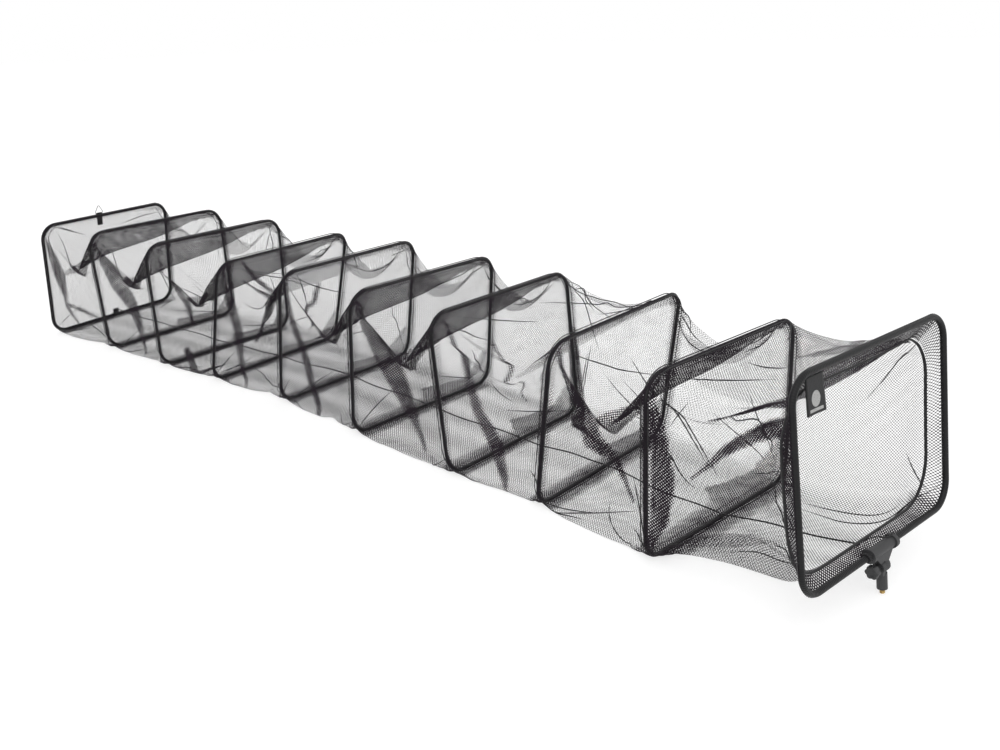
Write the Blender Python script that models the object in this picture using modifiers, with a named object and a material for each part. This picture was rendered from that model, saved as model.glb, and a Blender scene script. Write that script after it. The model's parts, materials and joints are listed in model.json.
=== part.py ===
# Keep net: a long net tube held open by rounded rectangular hoops, lying stretched out on the ground.
# Metres, +Z up. The mouth is towards +X and the closed tail towards -X.

import math

import bmesh
import bpy
from mathutils import Euler, Matrix, Vector

for old in list(bpy.data.objects):
    bpy.data.objects.remove(old, do_unlink=True)

# Hoops. Widths and heights run between the tubes' centre lines.
hoop_width = 0.488
hoop_height = 0.372
hoop_corner_radius = 0.048
mouth_tube_radius = 0.006
middle_tube_radius = 0.00425
tail_tube_radius = 0.0055
net_length = 2.77

# How the hoops stand, from the mouth to the tail.
bay_length_shares = (0.123, 0.116, 0.090, 0.123, 0.123, 0.112, 0.083, 0.108, 0.122)
side_place_shares = (0.0, 0.12, 0.20, 0.18, 0.21, 0.25, 0.20, 0.15, 0.12, 0.04)
lean_degrees = (-9.0, -2.0, 6.0, -6.0, 5.0, 9.0, 15.0, 1.0, -2.0, 7.0)
yaw_degrees = (-8.0, -6.0, 0.0, 0.0, -2.0, 1.0, 4.0, 2.0, 3.0, 8.0)

# Netting
net_thickness = 0.0012
net_waist = 0.062
right_waist_share = 0.18
corner_waist_share = 0.25
waist_place_share = 0.48
top_sag = 0.066
sag_tilt_share = 0.3
sag_place_share = 0.32
swell_round_share = 0.4
mouth_corner_share = 0.8
mouth_corner_lift = 0.045
mouth_bottom_sag = 0.034
hem_offset = 0.030
hem_width = 0.006
hem_thickness = 0.0026
end_net_thickness = 0.0016
end_strand_width = 0.0035
end_cells_across = 10
end_cells_up = 8

# Draw cord along the bottom
cord_radius = 0.0017
cord_dip = 0.0028
knot_radius = 0.0045

# Running and seating clearances
seat_gap = 0.0003
net_gap = 0.0005
stack_gap = 0.0015
overrun = 0.002

# Bank stick adaptor under the mouth hoop
tee_length = 0.084
tee_wall = 0.0045
collar_wall = 0.0075
collar_width = 0.009
web_top_width = 0.058
web_bottom_width = 0.011
web_depth = 0.015
pivot_drop = 0.034
disc_radius = 0.0115
disc_thickness = 0.0115
disc_tooth_height = 0.0007
bolt_radius = 0.003
hub_radius = 0.0065
hub_length = 0.012
knob_radius = 0.013
knob_thickness = 0.012
knob_lobe_height = 0.0016
nut_radius = 0.0065
nut_length = 0.007
barrel_radius = 0.0095
barrel_neck_width = 0.017
barrel_shoulder_gap = 0.0008
barrel_length = 0.031
stud_radius = 0.00475
stud_length = 0.0095
stud_root = 0.012
stud_chamfer = 0.0008
edge_round = 0.0012

# Webbing, label and tail ring
webbing_thickness = 0.0012
top_tab_width = 0.020
top_tab_tail = 0.026
top_tab_offset = 0.027
tab_room_share = 1.7
bottom_tab_width = 0.022
bottom_tab_height = 0.015
ring_wire_radius = 0.0011
ring_width = 0.028
ring_height = 0.026
ring_corner_radius = 0.004
label_width = 0.048
label_drop = 0.064
label_thickness = 0.0022
label_corner_reach = 0.009
tie_cord_radius = 0.0012
tie_place_gap = 0.003

hoop_count = len(lean_degrees)
tee_radius = mouth_tube_radius + tee_wall
collar_radius = mouth_tube_radius + collar_wall
tube_radii = [mouth_tube_radius] + [middle_tube_radius] * (hoop_count - 2) + [tail_tube_radius]
barrel_top_drop = pivot_drop + disc_radius + barrel_shoulder_gap
adaptor_length = barrel_top_drop + barrel_length + stud_length
hoop_turns = [
    Euler((0.0, math.radians(lean), math.radians(yaw)))
    for lean, yaw in zip(lean_degrees, yaw_degrees)
]
mouth_lean = math.radians(lean_degrees[0])
mouth_lift = adaptor_length * math.cos(mouth_lean) + (stud_radius - stud_chamfer) * abs(math.sin(mouth_lean))

parts = bpy.data.collections.new("keep_net")
cutters = bpy.data.collections.new("cutters")
bpy.context.scene.collection.children.link(parts)
bpy.context.scene.collection.children.link(cutters)


def material(name, colour, roughness, metallic=0.0):
    # One Principled material for one piece.
    made = bpy.data.materials.new(name)
    made.use_nodes = True
    shader = made.node_tree.nodes["Principled BSDF"]
    shader.inputs["Base Color"].default_value = (*colour, 1.0)
    shader.inputs["Roughness"].default_value = roughness
    shader.inputs["Metallic"].default_value = metallic
    return made


black_tube = ((0.018, 0.018, 0.020), 0.38)
net_black = ((0.045, 0.044, 0.048), 0.8)
cord_black = ((0.020, 0.020, 0.022), 0.75)
webbing_black = ((0.016, 0.016, 0.017), 0.85)
moulded_grey = ((0.060, 0.060, 0.062), 0.5)
brass = ((0.70, 0.52, 0.24), 0.35, 1.0)
steel = ((0.42, 0.42, 0.43), 0.35, 1.0)


def add_empty(name, parent, place, turn=(0.0, 0.0, 0.0)):
    made = bpy.data.objects.new(name, None)
    parts.objects.link(made)
    made.parent = parent
    made.location = place
    made.rotation_euler = turn
    return made


def add_object(name, data, finish, parent, place=(0.0, 0.0, 0.0), turn=(0.0, 0.0, 0.0)):
    # A named piece with its own material.
    made = bpy.data.objects.new(name, data)
    parts.objects.link(made)
    made.parent = parent
    made.location = place
    made.rotation_euler = turn
    data.materials.clear()
    data.materials.append(material(name, *finish))
    return made


def add_helper(name, data, parent, place=(0.0, 0.0, 0.0)):
    # A hidden shape that a Boolean adds or takes away.
    made = bpy.data.objects.new(name, data)
    cutters.objects.link(made)
    made.parent = parent
    made.location = place
    made.hide_render = True
    made.display_type = "WIRE"
    return made


def boolean(piece, helper, operation):
    step = piece.modifiers.new(helper.name, "BOOLEAN")
    step.operation = operation
    step.object = helper
    step.solver = "EXACT"


def round_edges(piece, width):
    step = piece.modifiers.new("edges", "BEVEL")
    step.width = width
    step.segments = 2
    step.limit_method = "ANGLE"
    step.angle_limit = math.radians(40.0)


def smooth(mesh):
    mesh.shade_smooth()
    mesh.set_sharp_from_angle(angle=math.radians(35.0))


def mesh_from(name, shape):
    mesh = bpy.data.meshes.new(name)
    shape.to_mesh(mesh)
    shape.free()
    return mesh


def cylinder(name, radius, length, sides=24, along_y=False, end_radius=None):
    # A capped cylinder or cone about its own centre, along Z or along Y.
    shape = bmesh.new()
    last = radius if end_radius is None else end_radius
    bmesh.ops.create_cone(shape, cap_ends=True, segments=sides, radius1=radius, radius2=last, depth=length)
    if along_y:
        bmesh.ops.rotate(shape, verts=shape.verts, matrix=Matrix.Rotation(math.radians(90.0), 3, "X"))
    return mesh_from(name, shape)


def lobed_disc(name, radius, lobe_height, lobes, length, sides):
    # A disc along Y whose rim swells and dips round its axis.
    shape = bmesh.new()
    bmesh.ops.create_cone(shape, cap_ends=True, segments=sides, radius1=radius, radius2=radius, depth=length)
    for vert in shape.verts:
        angle = math.atan2(vert.co.y, vert.co.x)
        reach = radius - lobe_height + lobe_height * math.cos(lobes * angle)
        vert.co.x = reach * math.cos(angle)
        vert.co.y = reach * math.sin(angle)
    bmesh.ops.rotate(shape, verts=shape.verts, matrix=Matrix.Rotation(math.radians(90.0), 3, "X"))
    return mesh_from(name, shape)


def box(name, size_x, size_y, size_z, top_y=None):
    # A box about its own centre. top_y widens or narrows its upper face along Y.
    shape = bmesh.new()
    bmesh.ops.create_cube(shape, size=1.0)
    upper = size_y if top_y is None else top_y
    for vert in shape.verts:
        vert.co.x *= size_x
        vert.co.y *= upper if vert.co.z > 0 else size_y
        vert.co.z *= size_z
    return mesh_from(name, shape)


def tube(name, points, radius, closed, fineness):
    # A round tube along the points: a curve with a bevel and, when it is open, filled ends.
    curve = bpy.data.curves.new(name, "CURVE")
    curve.dimensions = "3D"
    curve.bevel_depth = radius
    curve.bevel_resolution = fineness
    curve.use_fill_caps = not closed
    line = curve.splines.new("POLY")
    line.points.add(len(points) - 1)
    for spot, point in zip(line.points, points):
        spot.co = (*point, 1.0)
    line.use_cyclic_u = closed
    return curve


def plate(name, outlines, thickness):
    # A flat outline, with any holes as further outlines, as thick as given.
    curve = bpy.data.curves.new(name, "CURVE")
    curve.dimensions = "2D"
    curve.fill_mode = "BOTH"
    curve.extrude = thickness / 2
    for outline in outlines:
        line = curve.splines.new("POLY")
        line.points.add(len(outline) - 1)
        for spot, point in zip(line.points, outline):
            spot.co = (point[0], point[1], 0.0, 1.0)
        line.use_cyclic_u = True
    return curve


def arc(centre, radius, start, end, steps):
    # Points on an arc between two angles in degrees.
    angles = [math.radians(start + (end - start) * step / steps) for step in range(steps + 1)]
    return [(centre[0] + radius * math.cos(angle), centre[1] + radius * math.sin(angle)) for angle in angles]


def frame_outline(width, height, radius, corner_steps, across_steps=1, up_steps=1):
    # A rounded rectangle in the hoop's own plane (across, up), with up 0 at its base.
    side = width / 2 - radius
    centres = ((side, radius), (side, height - radius), (-side, height - radius), (-side, radius))
    outline = []
    for corner, centre in enumerate(centres):
        start = 90.0 * corner - 90.0
        outline += arc(centre, radius, start, start + 90.0, corner_steps)
        steps = up_steps if corner % 2 == 0 else across_steps
        here = Vector(outline[-1])
        following = centres[(corner + 1) % 4]
        goal = Vector(arc(following, radius, start + 90.0, start + 90.0, 1)[0])
        outline += [tuple(here.lerp(goal, step / steps)) for step in range(1, steps)]
    return outline


# Where each hoop's bottom tube is, seen from the mouth hoop's foot, and how the hoop is turned.
hoop_places = []
reached = 0.0
for index in range(hoop_count):
    height = mouth_lift if index == 0 else tube_radii[index]
    hoop_places.append(Vector((-reached, side_place_shares[index] * hoop_width, height)))
    if index < hoop_count - 1:
        reached += bay_length_shares[index] * net_length
hoop_matrices = [
    Matrix.Translation(place) @ turn.to_matrix().to_4x4()
    for place, turn in zip(hoop_places, hoop_turns)
]
hoop_names = ["mouth_hoop"] + [f"hoop_{index}" for index in range(1, hoop_count - 1)] + ["tail_hoop"]

# Each bay slides on the one before it, and each hoop tips on its bay.
whole = add_empty("keep_net_frame", None, (0.0, 0.0, 0.0))
mouth_body = add_empty("mouth_body", whole, hoop_places[0])
bay_bodies = [mouth_body]
for index in range(1, hoop_count):
    step = hoop_places[index] - hoop_places[index - 1]
    bay_bodies.append(add_empty(f"bay_{index}_body", bay_bodies[-1], step))
mouth_plane = add_empty("mouth_plane", mouth_body, (0.0, 0.0, 0.0), hoop_turns[0])


def build_hoops():
    outline = frame_outline(hoop_width, hoop_height, hoop_corner_radius, corner_steps=5)
    points = [(0.0, across, up) for across, up in outline]
    for index, name in enumerate(hoop_names):
        fineness = 3 if index in (0, hoop_count - 1) else 2
        curve = tube(name, points, tube_radii[index], closed=True, fineness=fineness)
        add_object(name, curve, black_tube, bay_bodies[index], turn=hoop_turns[index])


sleeve_outline = frame_outline(hoop_width, hoop_height, hoop_corner_radius, 3, across_steps=6, up_steps=3)


def swell(along, peak_share):
    # 0 at both hoops and 1 at the peak, which is nearer one of them.
    rise = along / peak_share if along < peak_share else (1 - along) / (1 - peak_share)
    return rise * (1 + swell_round_share * (1 - rise))


def net_point(index, along, across, up):
    # A point of the netting between hoops index-1 and index, at a share along from the first.
    by_tee = index == 1 and up < hoop_height / 2 and abs(across) < tee_length
    tee_room = collar_radius - mouth_tube_radius if by_tee else 0.0
    near = hoop_matrices[index - 1] @ Vector((-(tube_radii[index - 1] + net_gap + tee_room), across, up))
    side = across / (hoop_width / 2)
    height = (up - hoop_height / 2) / (hoop_height / 2)
    tab_room = 0.0
    if index == hoop_count - 1:
        tab_room = (seat_gap + webbing_thickness) * min(1.0, max(0.0, tab_room_share - 2 * abs(side)))
    far = hoop_matrices[index] @ Vector((tube_radii[index] + net_gap + tab_room, across, up))
    spot = near.lerp(far, along)
    # The walls draw in, the left one most, and the top hangs in a valley that is deeper on the left.
    waist = net_waist * (1.0 if across < 0 else right_waist_share)
    at_corner = mouth_corner_share if index == 1 and across < 0 and height < 0 else corner_waist_share
    waist *= side**2 * (1 - (1 - at_corner) * height**2)
    spot.y -= math.copysign(waist, across) * swell(along, waist_place_share)
    sag = top_sag * (1 - sag_tilt_share * side) * ((1 + height) / 2) ** 2
    spot.z -= sag * swell(along, sag_place_share)
    if index == 1 and height < 0:
        rise = -mouth_bottom_sag * (1 - side**2) * height**2
        if across < 0:
            rise += mouth_corner_lift * (side * height) ** 4
        spot.z += rise * swell(along, waist_place_share)
    return spot


def sleeve(name, index, start, end, rings, thickness, body, finish=net_black):
    # A closed skin of netting round the bay, from one share of its length to another.
    shape = bmesh.new()
    origin = body.matrix_world.translation
    rows = []
    for ring in range(rings + 1):
        along = start + (end - start) * ring / rings
        rows.append([shape.verts.new(net_point(index, along, *spot) - origin) for spot in sleeve_outline])
    count = len(sleeve_outline)
    for first, second in zip(rows, rows[1:]):
        for spot in range(count):
            after = (spot + 1) % count
            shape.faces.new((first[spot], second[spot], second[after], first[after]))
    mesh = mesh_from(name, shape)
    smooth(mesh)
    piece = add_object(name, mesh, finish, body)
    skin = piece.modifiers.new("thickness", "SOLIDIFY")
    skin.thickness = thickness
    skin.offset = 0.0


def hem_shares():
    # Where the mouth hem's two edges lie along the first bay.
    length = bay_length_shares[0] * net_length
    return (hem_offset - hem_width / 2) / length, (hem_offset + hem_width / 2) / length


def build_netting():
    bpy.context.view_layer.update()
    low, high = hem_shares()
    gap_share = net_gap / (bay_length_shares[0] * net_length)
    sleeve("mouth_band", 1, 0.0, low - gap_share, 1, net_thickness, mouth_body)
    sleeve("mouth_hem", 1, low, high, 1, hem_thickness, mouth_body, cord_black)
    for index in range(1, hoop_count):
        start = high + gap_share if index == 1 else 0.0
        sleeve(f"net_bay_{index}", index, start, 1.0, 6, net_thickness, bay_bodies[index])


def build_end_net():
    # The flat net that closes the tail, inside the last hoop and behind the webbing tabs.
    inset = tail_tube_radius + webbing_thickness + 2 * seat_gap
    behind = webbing_thickness + seat_gap + end_net_thickness / 2
    width = hoop_width - 2 * inset
    height = hoop_height - 2 * inset
    radius = hoop_corner_radius - inset
    outlines = [frame_outline(width, height, radius, corner_steps=4)]
    margin = radius * (1 - math.sqrt(0.5)) + end_strand_width
    cell_width = (width - 2 * margin + end_strand_width) / end_cells_across
    cell_height = (height - 2 * margin + end_strand_width) / end_cells_up
    for column in range(end_cells_across):
        left = margin - width / 2 + column * cell_width
        right = left + cell_width - end_strand_width
        for row in range(end_cells_up):
            low = margin + row * cell_height
            high = low + cell_height - end_strand_width
            outlines.append([(left, low), (right, low), (right, high), (left, high)])
    curve = plate("tail_net", outlines, end_net_thickness)
    holder = add_empty("tail_plane", bay_bodies[-1], (0.0, 0.0, 0.0), hoop_turns[-1])
    upright = (math.radians(90.0), 0.0, math.radians(90.0))
    add_object("tail_net", curve, net_black, holder, place=(-behind, 0.0, inset), turn=upright)
    return holder


def cord_rest(index):
    # How high the cord's middle runs over a hoop's bottom tube.
    return 2 * tube_radii[index] + seat_gap + cord_radius


def build_cords(tied_hoop):
    # One length of draw cord for each bay, from hoop to hoop along the bottom, inside the netting.
    low, high = hem_shares()
    knot_height = hem_thickness / 2 + seat_gap + knot_radius
    hem_middle = net_point(1, (low + high) / 2, 0.0, 0.0)
    hem_slope = (net_point(1, high, 0.0, 0.0) - net_point(1, low, 0.0, 0.0)).normalized()
    knots = {0: hem_middle + Vector((0.0, 0.0, knot_height / hem_slope.xy.length))}
    hitch_height = 2 * tube_radii[tied_hoop] + seat_gap + knot_radius
    knots[tied_hoop] = hoop_places[tied_hoop].xy.to_3d() + Vector((0.0, 0.0, hitch_height))
    tab_reach = tail_tube_radius + seat_gap + webbing_thickness
    for index, spot in knots.items():
        shape = bmesh.new()
        bmesh.ops.create_uvsphere(shape, u_segments=10, v_segments=6, radius=knot_radius)
        mesh = mesh_from("knot", shape)
        smooth(mesh)
        name = "mouth_knot" if index == 0 else f"cord_hitch_{index}"
        add_object(name, mesh, cord_black, bay_bodies[index], place=spot - hoop_places[index])
    steps = 8
    for index in range(1, hoop_count):
        ends = []
        for side, hoop in ((-1, index - 1), (1, index)):
            if hoop in knots:
                spot = knots[hoop]
                clear = knot_radius + seat_gap
            elif hoop == hoop_count - 1:
                rise = 2 * tail_tube_radius + seat_gap + webbing_thickness + bottom_tab_height / 2
                spot = hoop_places[hoop].xy.to_3d() + Vector((0.0, 0.0, rise))
                clear = tab_reach
            else:
                spot = hoop_places[hoop].xy.to_3d() + Vector((0.0, 0.0, cord_rest(hoop)))
                clear = net_gap / 2
            ends.append((spot, clear))
        (start, start_clear), (end, end_clear) = ends
        run = (end - start).normalized()
        start = start + run * start_clear
        end = end - run * end_clear
        points = []
        for step in range(steps + 1):
            share = step / steps
            ease = share * share * (3 - 2 * share)
            spot = start.lerp(end, share)
            straight = start.z + (end.z - start.z) * (share if index == 1 else ease)
            spot.z = straight - (0.0 if index == 1 else cord_dip * math.sin(math.pi * share) ** 2)
            points.append(spot - hoop_places[index])
        curve = tube(f"base_cord_{index}", points, cord_radius, closed=False, fineness=2)
        add_object(curve.name, curve, cord_black, bay_bodies[index])


def build_adaptor():
    # Tee on the mouth hoop's bottom tube, tilting barrel with a threaded stud, and the knob that locks it.
    disc_centre = seat_gap / 2 + disc_thickness / 2
    pivot = (0.0, 0.0, -pivot_drop)
    tee = cylinder("tee_sleeve", tee_radius, tee_length, 24, along_y=True)
    tee = add_object("tee_sleeve", tee, moulded_grey, mouth_plane)
    for side in (-1, 1):
        collar = cylinder("collar", collar_radius, collar_width, 24, along_y=True)
        place = (0.0, side * (tee_length - collar_width) / 2, 0.0)
        boolean(tee, add_helper("tee_collar", collar, mouth_plane, place), "UNION")
    web_top = mouth_tube_radius + seat_gap + edge_round
    web_height = pivot_drop - web_top
    web = box("web", web_depth, web_bottom_width, web_height, top_y=web_top_width)
    boolean(tee, add_helper("tee_web", web, mouth_plane, (0.0, 0.0, -web_top - web_height / 2)), "UNION")
    relief_size = 2 * disc_radius + 2 * seat_gap
    relief = box("relief", relief_size, web_top_width, relief_size)
    relief_place = (0.0, seat_gap / 2 - web_top_width / 2, -pivot_drop)
    boolean(tee, add_helper("tee_relief", relief, mouth_plane, relief_place), "DIFFERENCE")
    teeth = 24
    disc = lobed_disc("disc", disc_radius, disc_tooth_height / 2, teeth, disc_thickness, 2 * teeth)
    disc_place = (0.0, disc_centre, -pivot_drop)
    boolean(tee, add_helper("tee_disc", disc, mouth_plane, disc_place), "UNION")
    bore = cylinder("bore", mouth_tube_radius + seat_gap, tee_length + 2 * overrun, 24, along_y=True)
    boolean(tee, add_helper("tee_bore", bore, mouth_plane), "DIFFERENCE")
    bolt_bore_length = 2 * disc_thickness + 2 * overrun
    bolt_bore = cylinder("bolt_bore", bolt_radius + seat_gap, bolt_bore_length, 16, along_y=True)
    boolean(tee, add_helper("tee_bolt_bore", bolt_bore, mouth_plane, disc_place), "DIFFERENCE")

    tilt = add_empty("barrel_body", mouth_plane, pivot)
    barrel = lobed_disc("barrel", disc_radius, disc_tooth_height / 2, teeth, disc_thickness, 2 * teeth)
    for vert in barrel.vertices:
        vert.co.y -= disc_centre
    barrel = add_object("barrel", barrel, moulded_grey, tilt)
    lower = cylinder("lower", barrel_radius, barrel_length, 24)
    lower_place = (0.0, 0.0, pivot_drop - barrel_top_drop - barrel_length / 2)
    boolean(barrel, add_helper("barrel_lower", lower, tilt, lower_place), "UNION")
    neck_height = barrel_top_drop - pivot_drop + overrun
    neck = box("neck", barrel_neck_width, disc_thickness, neck_height)
    neck_place = (0.0, -disc_centre, -(barrel_top_drop - pivot_drop) / 2 - overrun / 2)
    boolean(barrel, add_helper("barrel_neck", neck, tilt, neck_place), "UNION")
    boolean(barrel, add_helper("barrel_bolt_bore", bolt_bore, tilt, (0.0, -disc_centre, 0.0)), "DIFFERENCE")
    socket = cylinder("socket", stud_radius + seat_gap, stud_root + overrun, 20)
    stud_top = pivot_drop - barrel_top_drop - barrel_length + stud_root
    socket_place = (0.0, 0.0, stud_top - (stud_root + overrun) / 2)
    boolean(barrel, add_helper("barrel_socket", socket, tilt, socket_place), "DIFFERENCE")

    shank = stud_root - seat_gap + stud_length - stud_chamfer
    stud = cylinder("threaded_stud", stud_radius, shank, 20)
    stud_place = (0.0, 0.0, stud_top - seat_gap - shank / 2)
    stud = add_object("threaded_stud", stud, brass, tilt, place=stud_place)
    tip = cylinder("tip", stud_radius - stud_chamfer, stud_chamfer, 20, end_radius=stud_radius)
    tip_place = (0.0, 0.0, stud_place[2] - (shank + stud_chamfer) / 2)
    boolean(stud, add_helper("stud_tip", tip, tilt, tip_place), "UNION")

    turn = add_empty("knob_body", tilt, (0.0, 0.0, 0.0))
    disc_face = seat_gap / 2 + disc_thickness
    hub_start = disc_face + seat_gap
    knob_middle = -(hub_start + hub_length + knob_thickness / 2)
    knob = lobed_disc("star_knob", knob_radius, knob_lobe_height, 6, knob_thickness, 48)
    knob = add_object("star_knob", knob, moulded_grey, turn, place=(0.0, knob_middle, 0.0))
    round_edges(knob, edge_round)
    hub = cylinder("hub", hub_radius, hub_length + overrun, 20, along_y=True)
    hub_middle = -(hub_start + (hub_length + overrun) / 2)
    boolean(knob, add_helper("knob_hub", hub, turn, (0.0, hub_middle, 0.0)), "UNION")
    knob_bore_length = hub_length + knob_thickness / 2
    knob_bore = cylinder("knob_bore", bolt_radius + seat_gap, knob_bore_length + overrun, 16, along_y=True)
    bore_middle = -(hub_start - overrun + (knob_bore_length + overrun) / 2)
    boolean(knob, add_helper("knob_bolt_bore", knob_bore, turn, (0.0, bore_middle, 0.0)), "DIFFERENCE")
    bolt_start = -(hub_start + knob_bore_length - seat_gap)
    bolt_end = disc_face + nut_length
    bolt = cylinder("pivot_bolt", bolt_radius, bolt_end - bolt_start, 16, along_y=True)
    add_object("pivot_bolt", bolt, steel, turn, place=(0.0, (bolt_start + bolt_end) / 2, 0.0))
    nut = cylinder("pivot_nut", nut_radius, nut_length, 20, along_y=True)
    nut_place = (0.0, disc_face + seat_gap + nut_length / 2, -pivot_drop)
    nut = add_object("pivot_nut", nut, moulded_grey, mouth_plane, place=nut_place)
    nut_bore = cylinder("nut_bore", bolt_radius + seat_gap, nut_length + 2 * overrun, 16, along_y=True)
    boolean(nut, add_helper("nut_bolt_bore", nut_bore, mouth_plane, nut_place), "DIFFERENCE")


def build_mouth_trim():
    # Label hanging inside the mouth, and the cord ties on both sides of the tee.
    inner_radius = hoop_corner_radius - mouth_tube_radius
    corner_drop = inner_radius - math.sqrt(inner_radius**2 - label_corner_reach**2)
    label_top = hoop_height - mouth_tube_radius - corner_drop - seat_gap
    label = box("label_tab", label_thickness, label_width, label_drop)
    label_side = -hoop_width / 2 + hoop_corner_radius - label_corner_reach + label_width / 2
    label_place = (0.0, label_side, label_top - label_drop / 2)
    add_object("label_tab", label, webbing_black, mouth_plane, place=label_place)
    reach = mouth_tube_radius + seat_gap + tie_cord_radius
    ring = [(across, 0.0, up) for across, up in arc((0.0, 0.0), reach, 0.0, 345.0, 23)]
    for side, name in ((-1, "left_tie"), (1, "right_tie")):
        curve = tube(name, ring, tie_cord_radius, closed=True, fineness=1)
        place = side * (tee_length / 2 + tie_place_gap)
        add_object(name, curve, cord_black, mouth_plane, place=(0.0, place, 0.0))


def build_tail_trim(holder):
    # Webbing tabs on the last hoop, and the wire ring that swings in the upper one.
    clear = tail_tube_radius + seat_gap
    outer = clear + webbing_thickness
    ring_clear = ring_wire_radius + seat_gap
    ring_outer = ring_clear + webbing_thickness
    ring_height_over = clear + webbing_thickness + ring_clear
    half_flap = webbing_thickness
    lap = math.degrees(math.asin(half_flap / outer))
    outline = arc((0.0, ring_height_over), ring_outer, 0.0, 180.0, 8)
    outline += arc((0.0, 0.0), outer, 160.0, 270.0 - lap, 8)
    outline += [(-half_flap, -outer - top_tab_tail), (half_flap, -outer - top_tab_tail)]
    outline += arc((0.0, 0.0), outer, 270.0 + lap, 380.0, 8)
    tube_hole = arc((0.0, 0.0), clear, 0.0, 345.0, 23)
    ring_hole = arc((0.0, ring_height_over), ring_clear, 0.0, 330.0, 11)
    turn = (math.radians(90.0), 0.0, 0.0)
    top = plate("top_tab", [outline, tube_hole, ring_hole], top_tab_width)
    add_object("top_tab", top, webbing_black, holder, place=(0.0, -top_tab_offset, hoop_height), turn=turn)

    lift = math.degrees(math.asin(half_flap / outer))
    outline = [(half_flap, outer + bottom_tab_height), (-half_flap, outer + bottom_tab_height)]
    outline += arc((0.0, 0.0), outer, 90.0 + lift, 190.0, 8)
    outline += arc((0.0, 0.0), clear, 190.0, -10.0, 14)
    outline += arc((0.0, 0.0), outer, -10.0, 90.0 - lift, 8)
    bottom = plate("bottom_tab", [outline], bottom_tab_width)
    add_object("bottom_tab", bottom, webbing_black, holder, turn=turn)

    swing = add_empty("ring_body", holder, (0.0, -top_tab_offset, hoop_height + ring_height_over))
    half = ring_width / 2 - ring_corner_radius
    slope = math.degrees(math.atan2(ring_height - 2 * ring_corner_radius, half))
    ring = arc((half, ring_corner_radius), ring_corner_radius, -90.0, 90.0 - slope, 6)
    ring += arc((0.0, ring_height - ring_corner_radius), ring_corner_radius, 90.0 - slope, 90.0 + slope, 6)
    ring += arc((-half, ring_corner_radius), ring_corner_radius, 90.0 + slope, 270.0, 6)
    ring = [(0.0, across, up) for across, up in ring]
    curve = tube("tail_ring", ring, ring_wire_radius, closed=True, fineness=2)
    add_object("tail_ring", curve, steel, swing)


def measure():
    # The lowest and highest corner of all the pieces.
    bpy.context.view_layer.update()
    graph = bpy.context.evaluated_depsgraph_get()
    low = Vector((math.inf,) * 3)
    high = Vector((-math.inf,) * 3)
    for piece in parts.objects:
        if piece.type == "EMPTY":
            continue
        shown = piece.evaluated_get(graph)
        mesh = shown.to_mesh()
        for vert in mesh.vertices:
            spot = shown.matrix_world @ vert.co
            low = Vector(map(min, low, spot))
            high = Vector(map(max, high, spot))
        shown.to_mesh_clear()
    return low, high


def rounded(values):
    return [round(value, 6) for value in values]


def print_joints():
    # Each bay's slide and each hoop's tip, from the stretched net to the packed one.
    flat = hoop_turns[0].to_matrix()
    facing = flat.col[0]
    tab_room = seat_gap + webbing_thickness
    for index in range(1, hoop_count):
        away = (hoop_places[index] - hoop_places[index - 1]).xy.to_3d()
        towards = -away.normalized()
        nearest = barrel_radius if index == 1 else tube_radii[index - 1]
        beside = tube_radii[index] + (tab_room if index == hoop_count - 1 else 0.0)
        packed = (nearest + beside + stack_gap) / towards.dot(facing)
        place = bay_bodies[index].matrix_world.translation
        turned = flat @ hoop_turns[index].to_matrix().transposed()
        axis, angle = turned.to_quaternion().to_axis_angle()
        print("slide", index, rounded(towards), round(away.length - packed, 6))
        print("tip", index, rounded(place), rounded(axis), round(math.degrees(angle), 6))
    for name in ("barrel_body", "knob_body", "ring_body"):
        spot = bpy.data.objects[name].matrix_world
        print(name, rounded(spot.translation), rounded(spot.col[1].xyz))


build_hoops()
build_netting()
tail_plane = build_end_net()
build_cords(tied_hoop=3)
build_adaptor()
build_mouth_trim()
build_tail_trim(tail_plane)
lowest, highest = measure()
whole.location = (-(lowest.x + highest.x) / 2, -(lowest.y + highest.y) / 2, 0.0)
bpy.context.view_layer.update()
print("box", rounded(lowest + whole.location), rounded(highest + whole.location))
print_joints()
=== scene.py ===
# Keep net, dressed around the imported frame. Metres, +Z up, mouth towards +X.
import json
import math

import bmesh
import bpy
import numpy as np
from mathutils import Euler, Matrix, Vector

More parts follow.
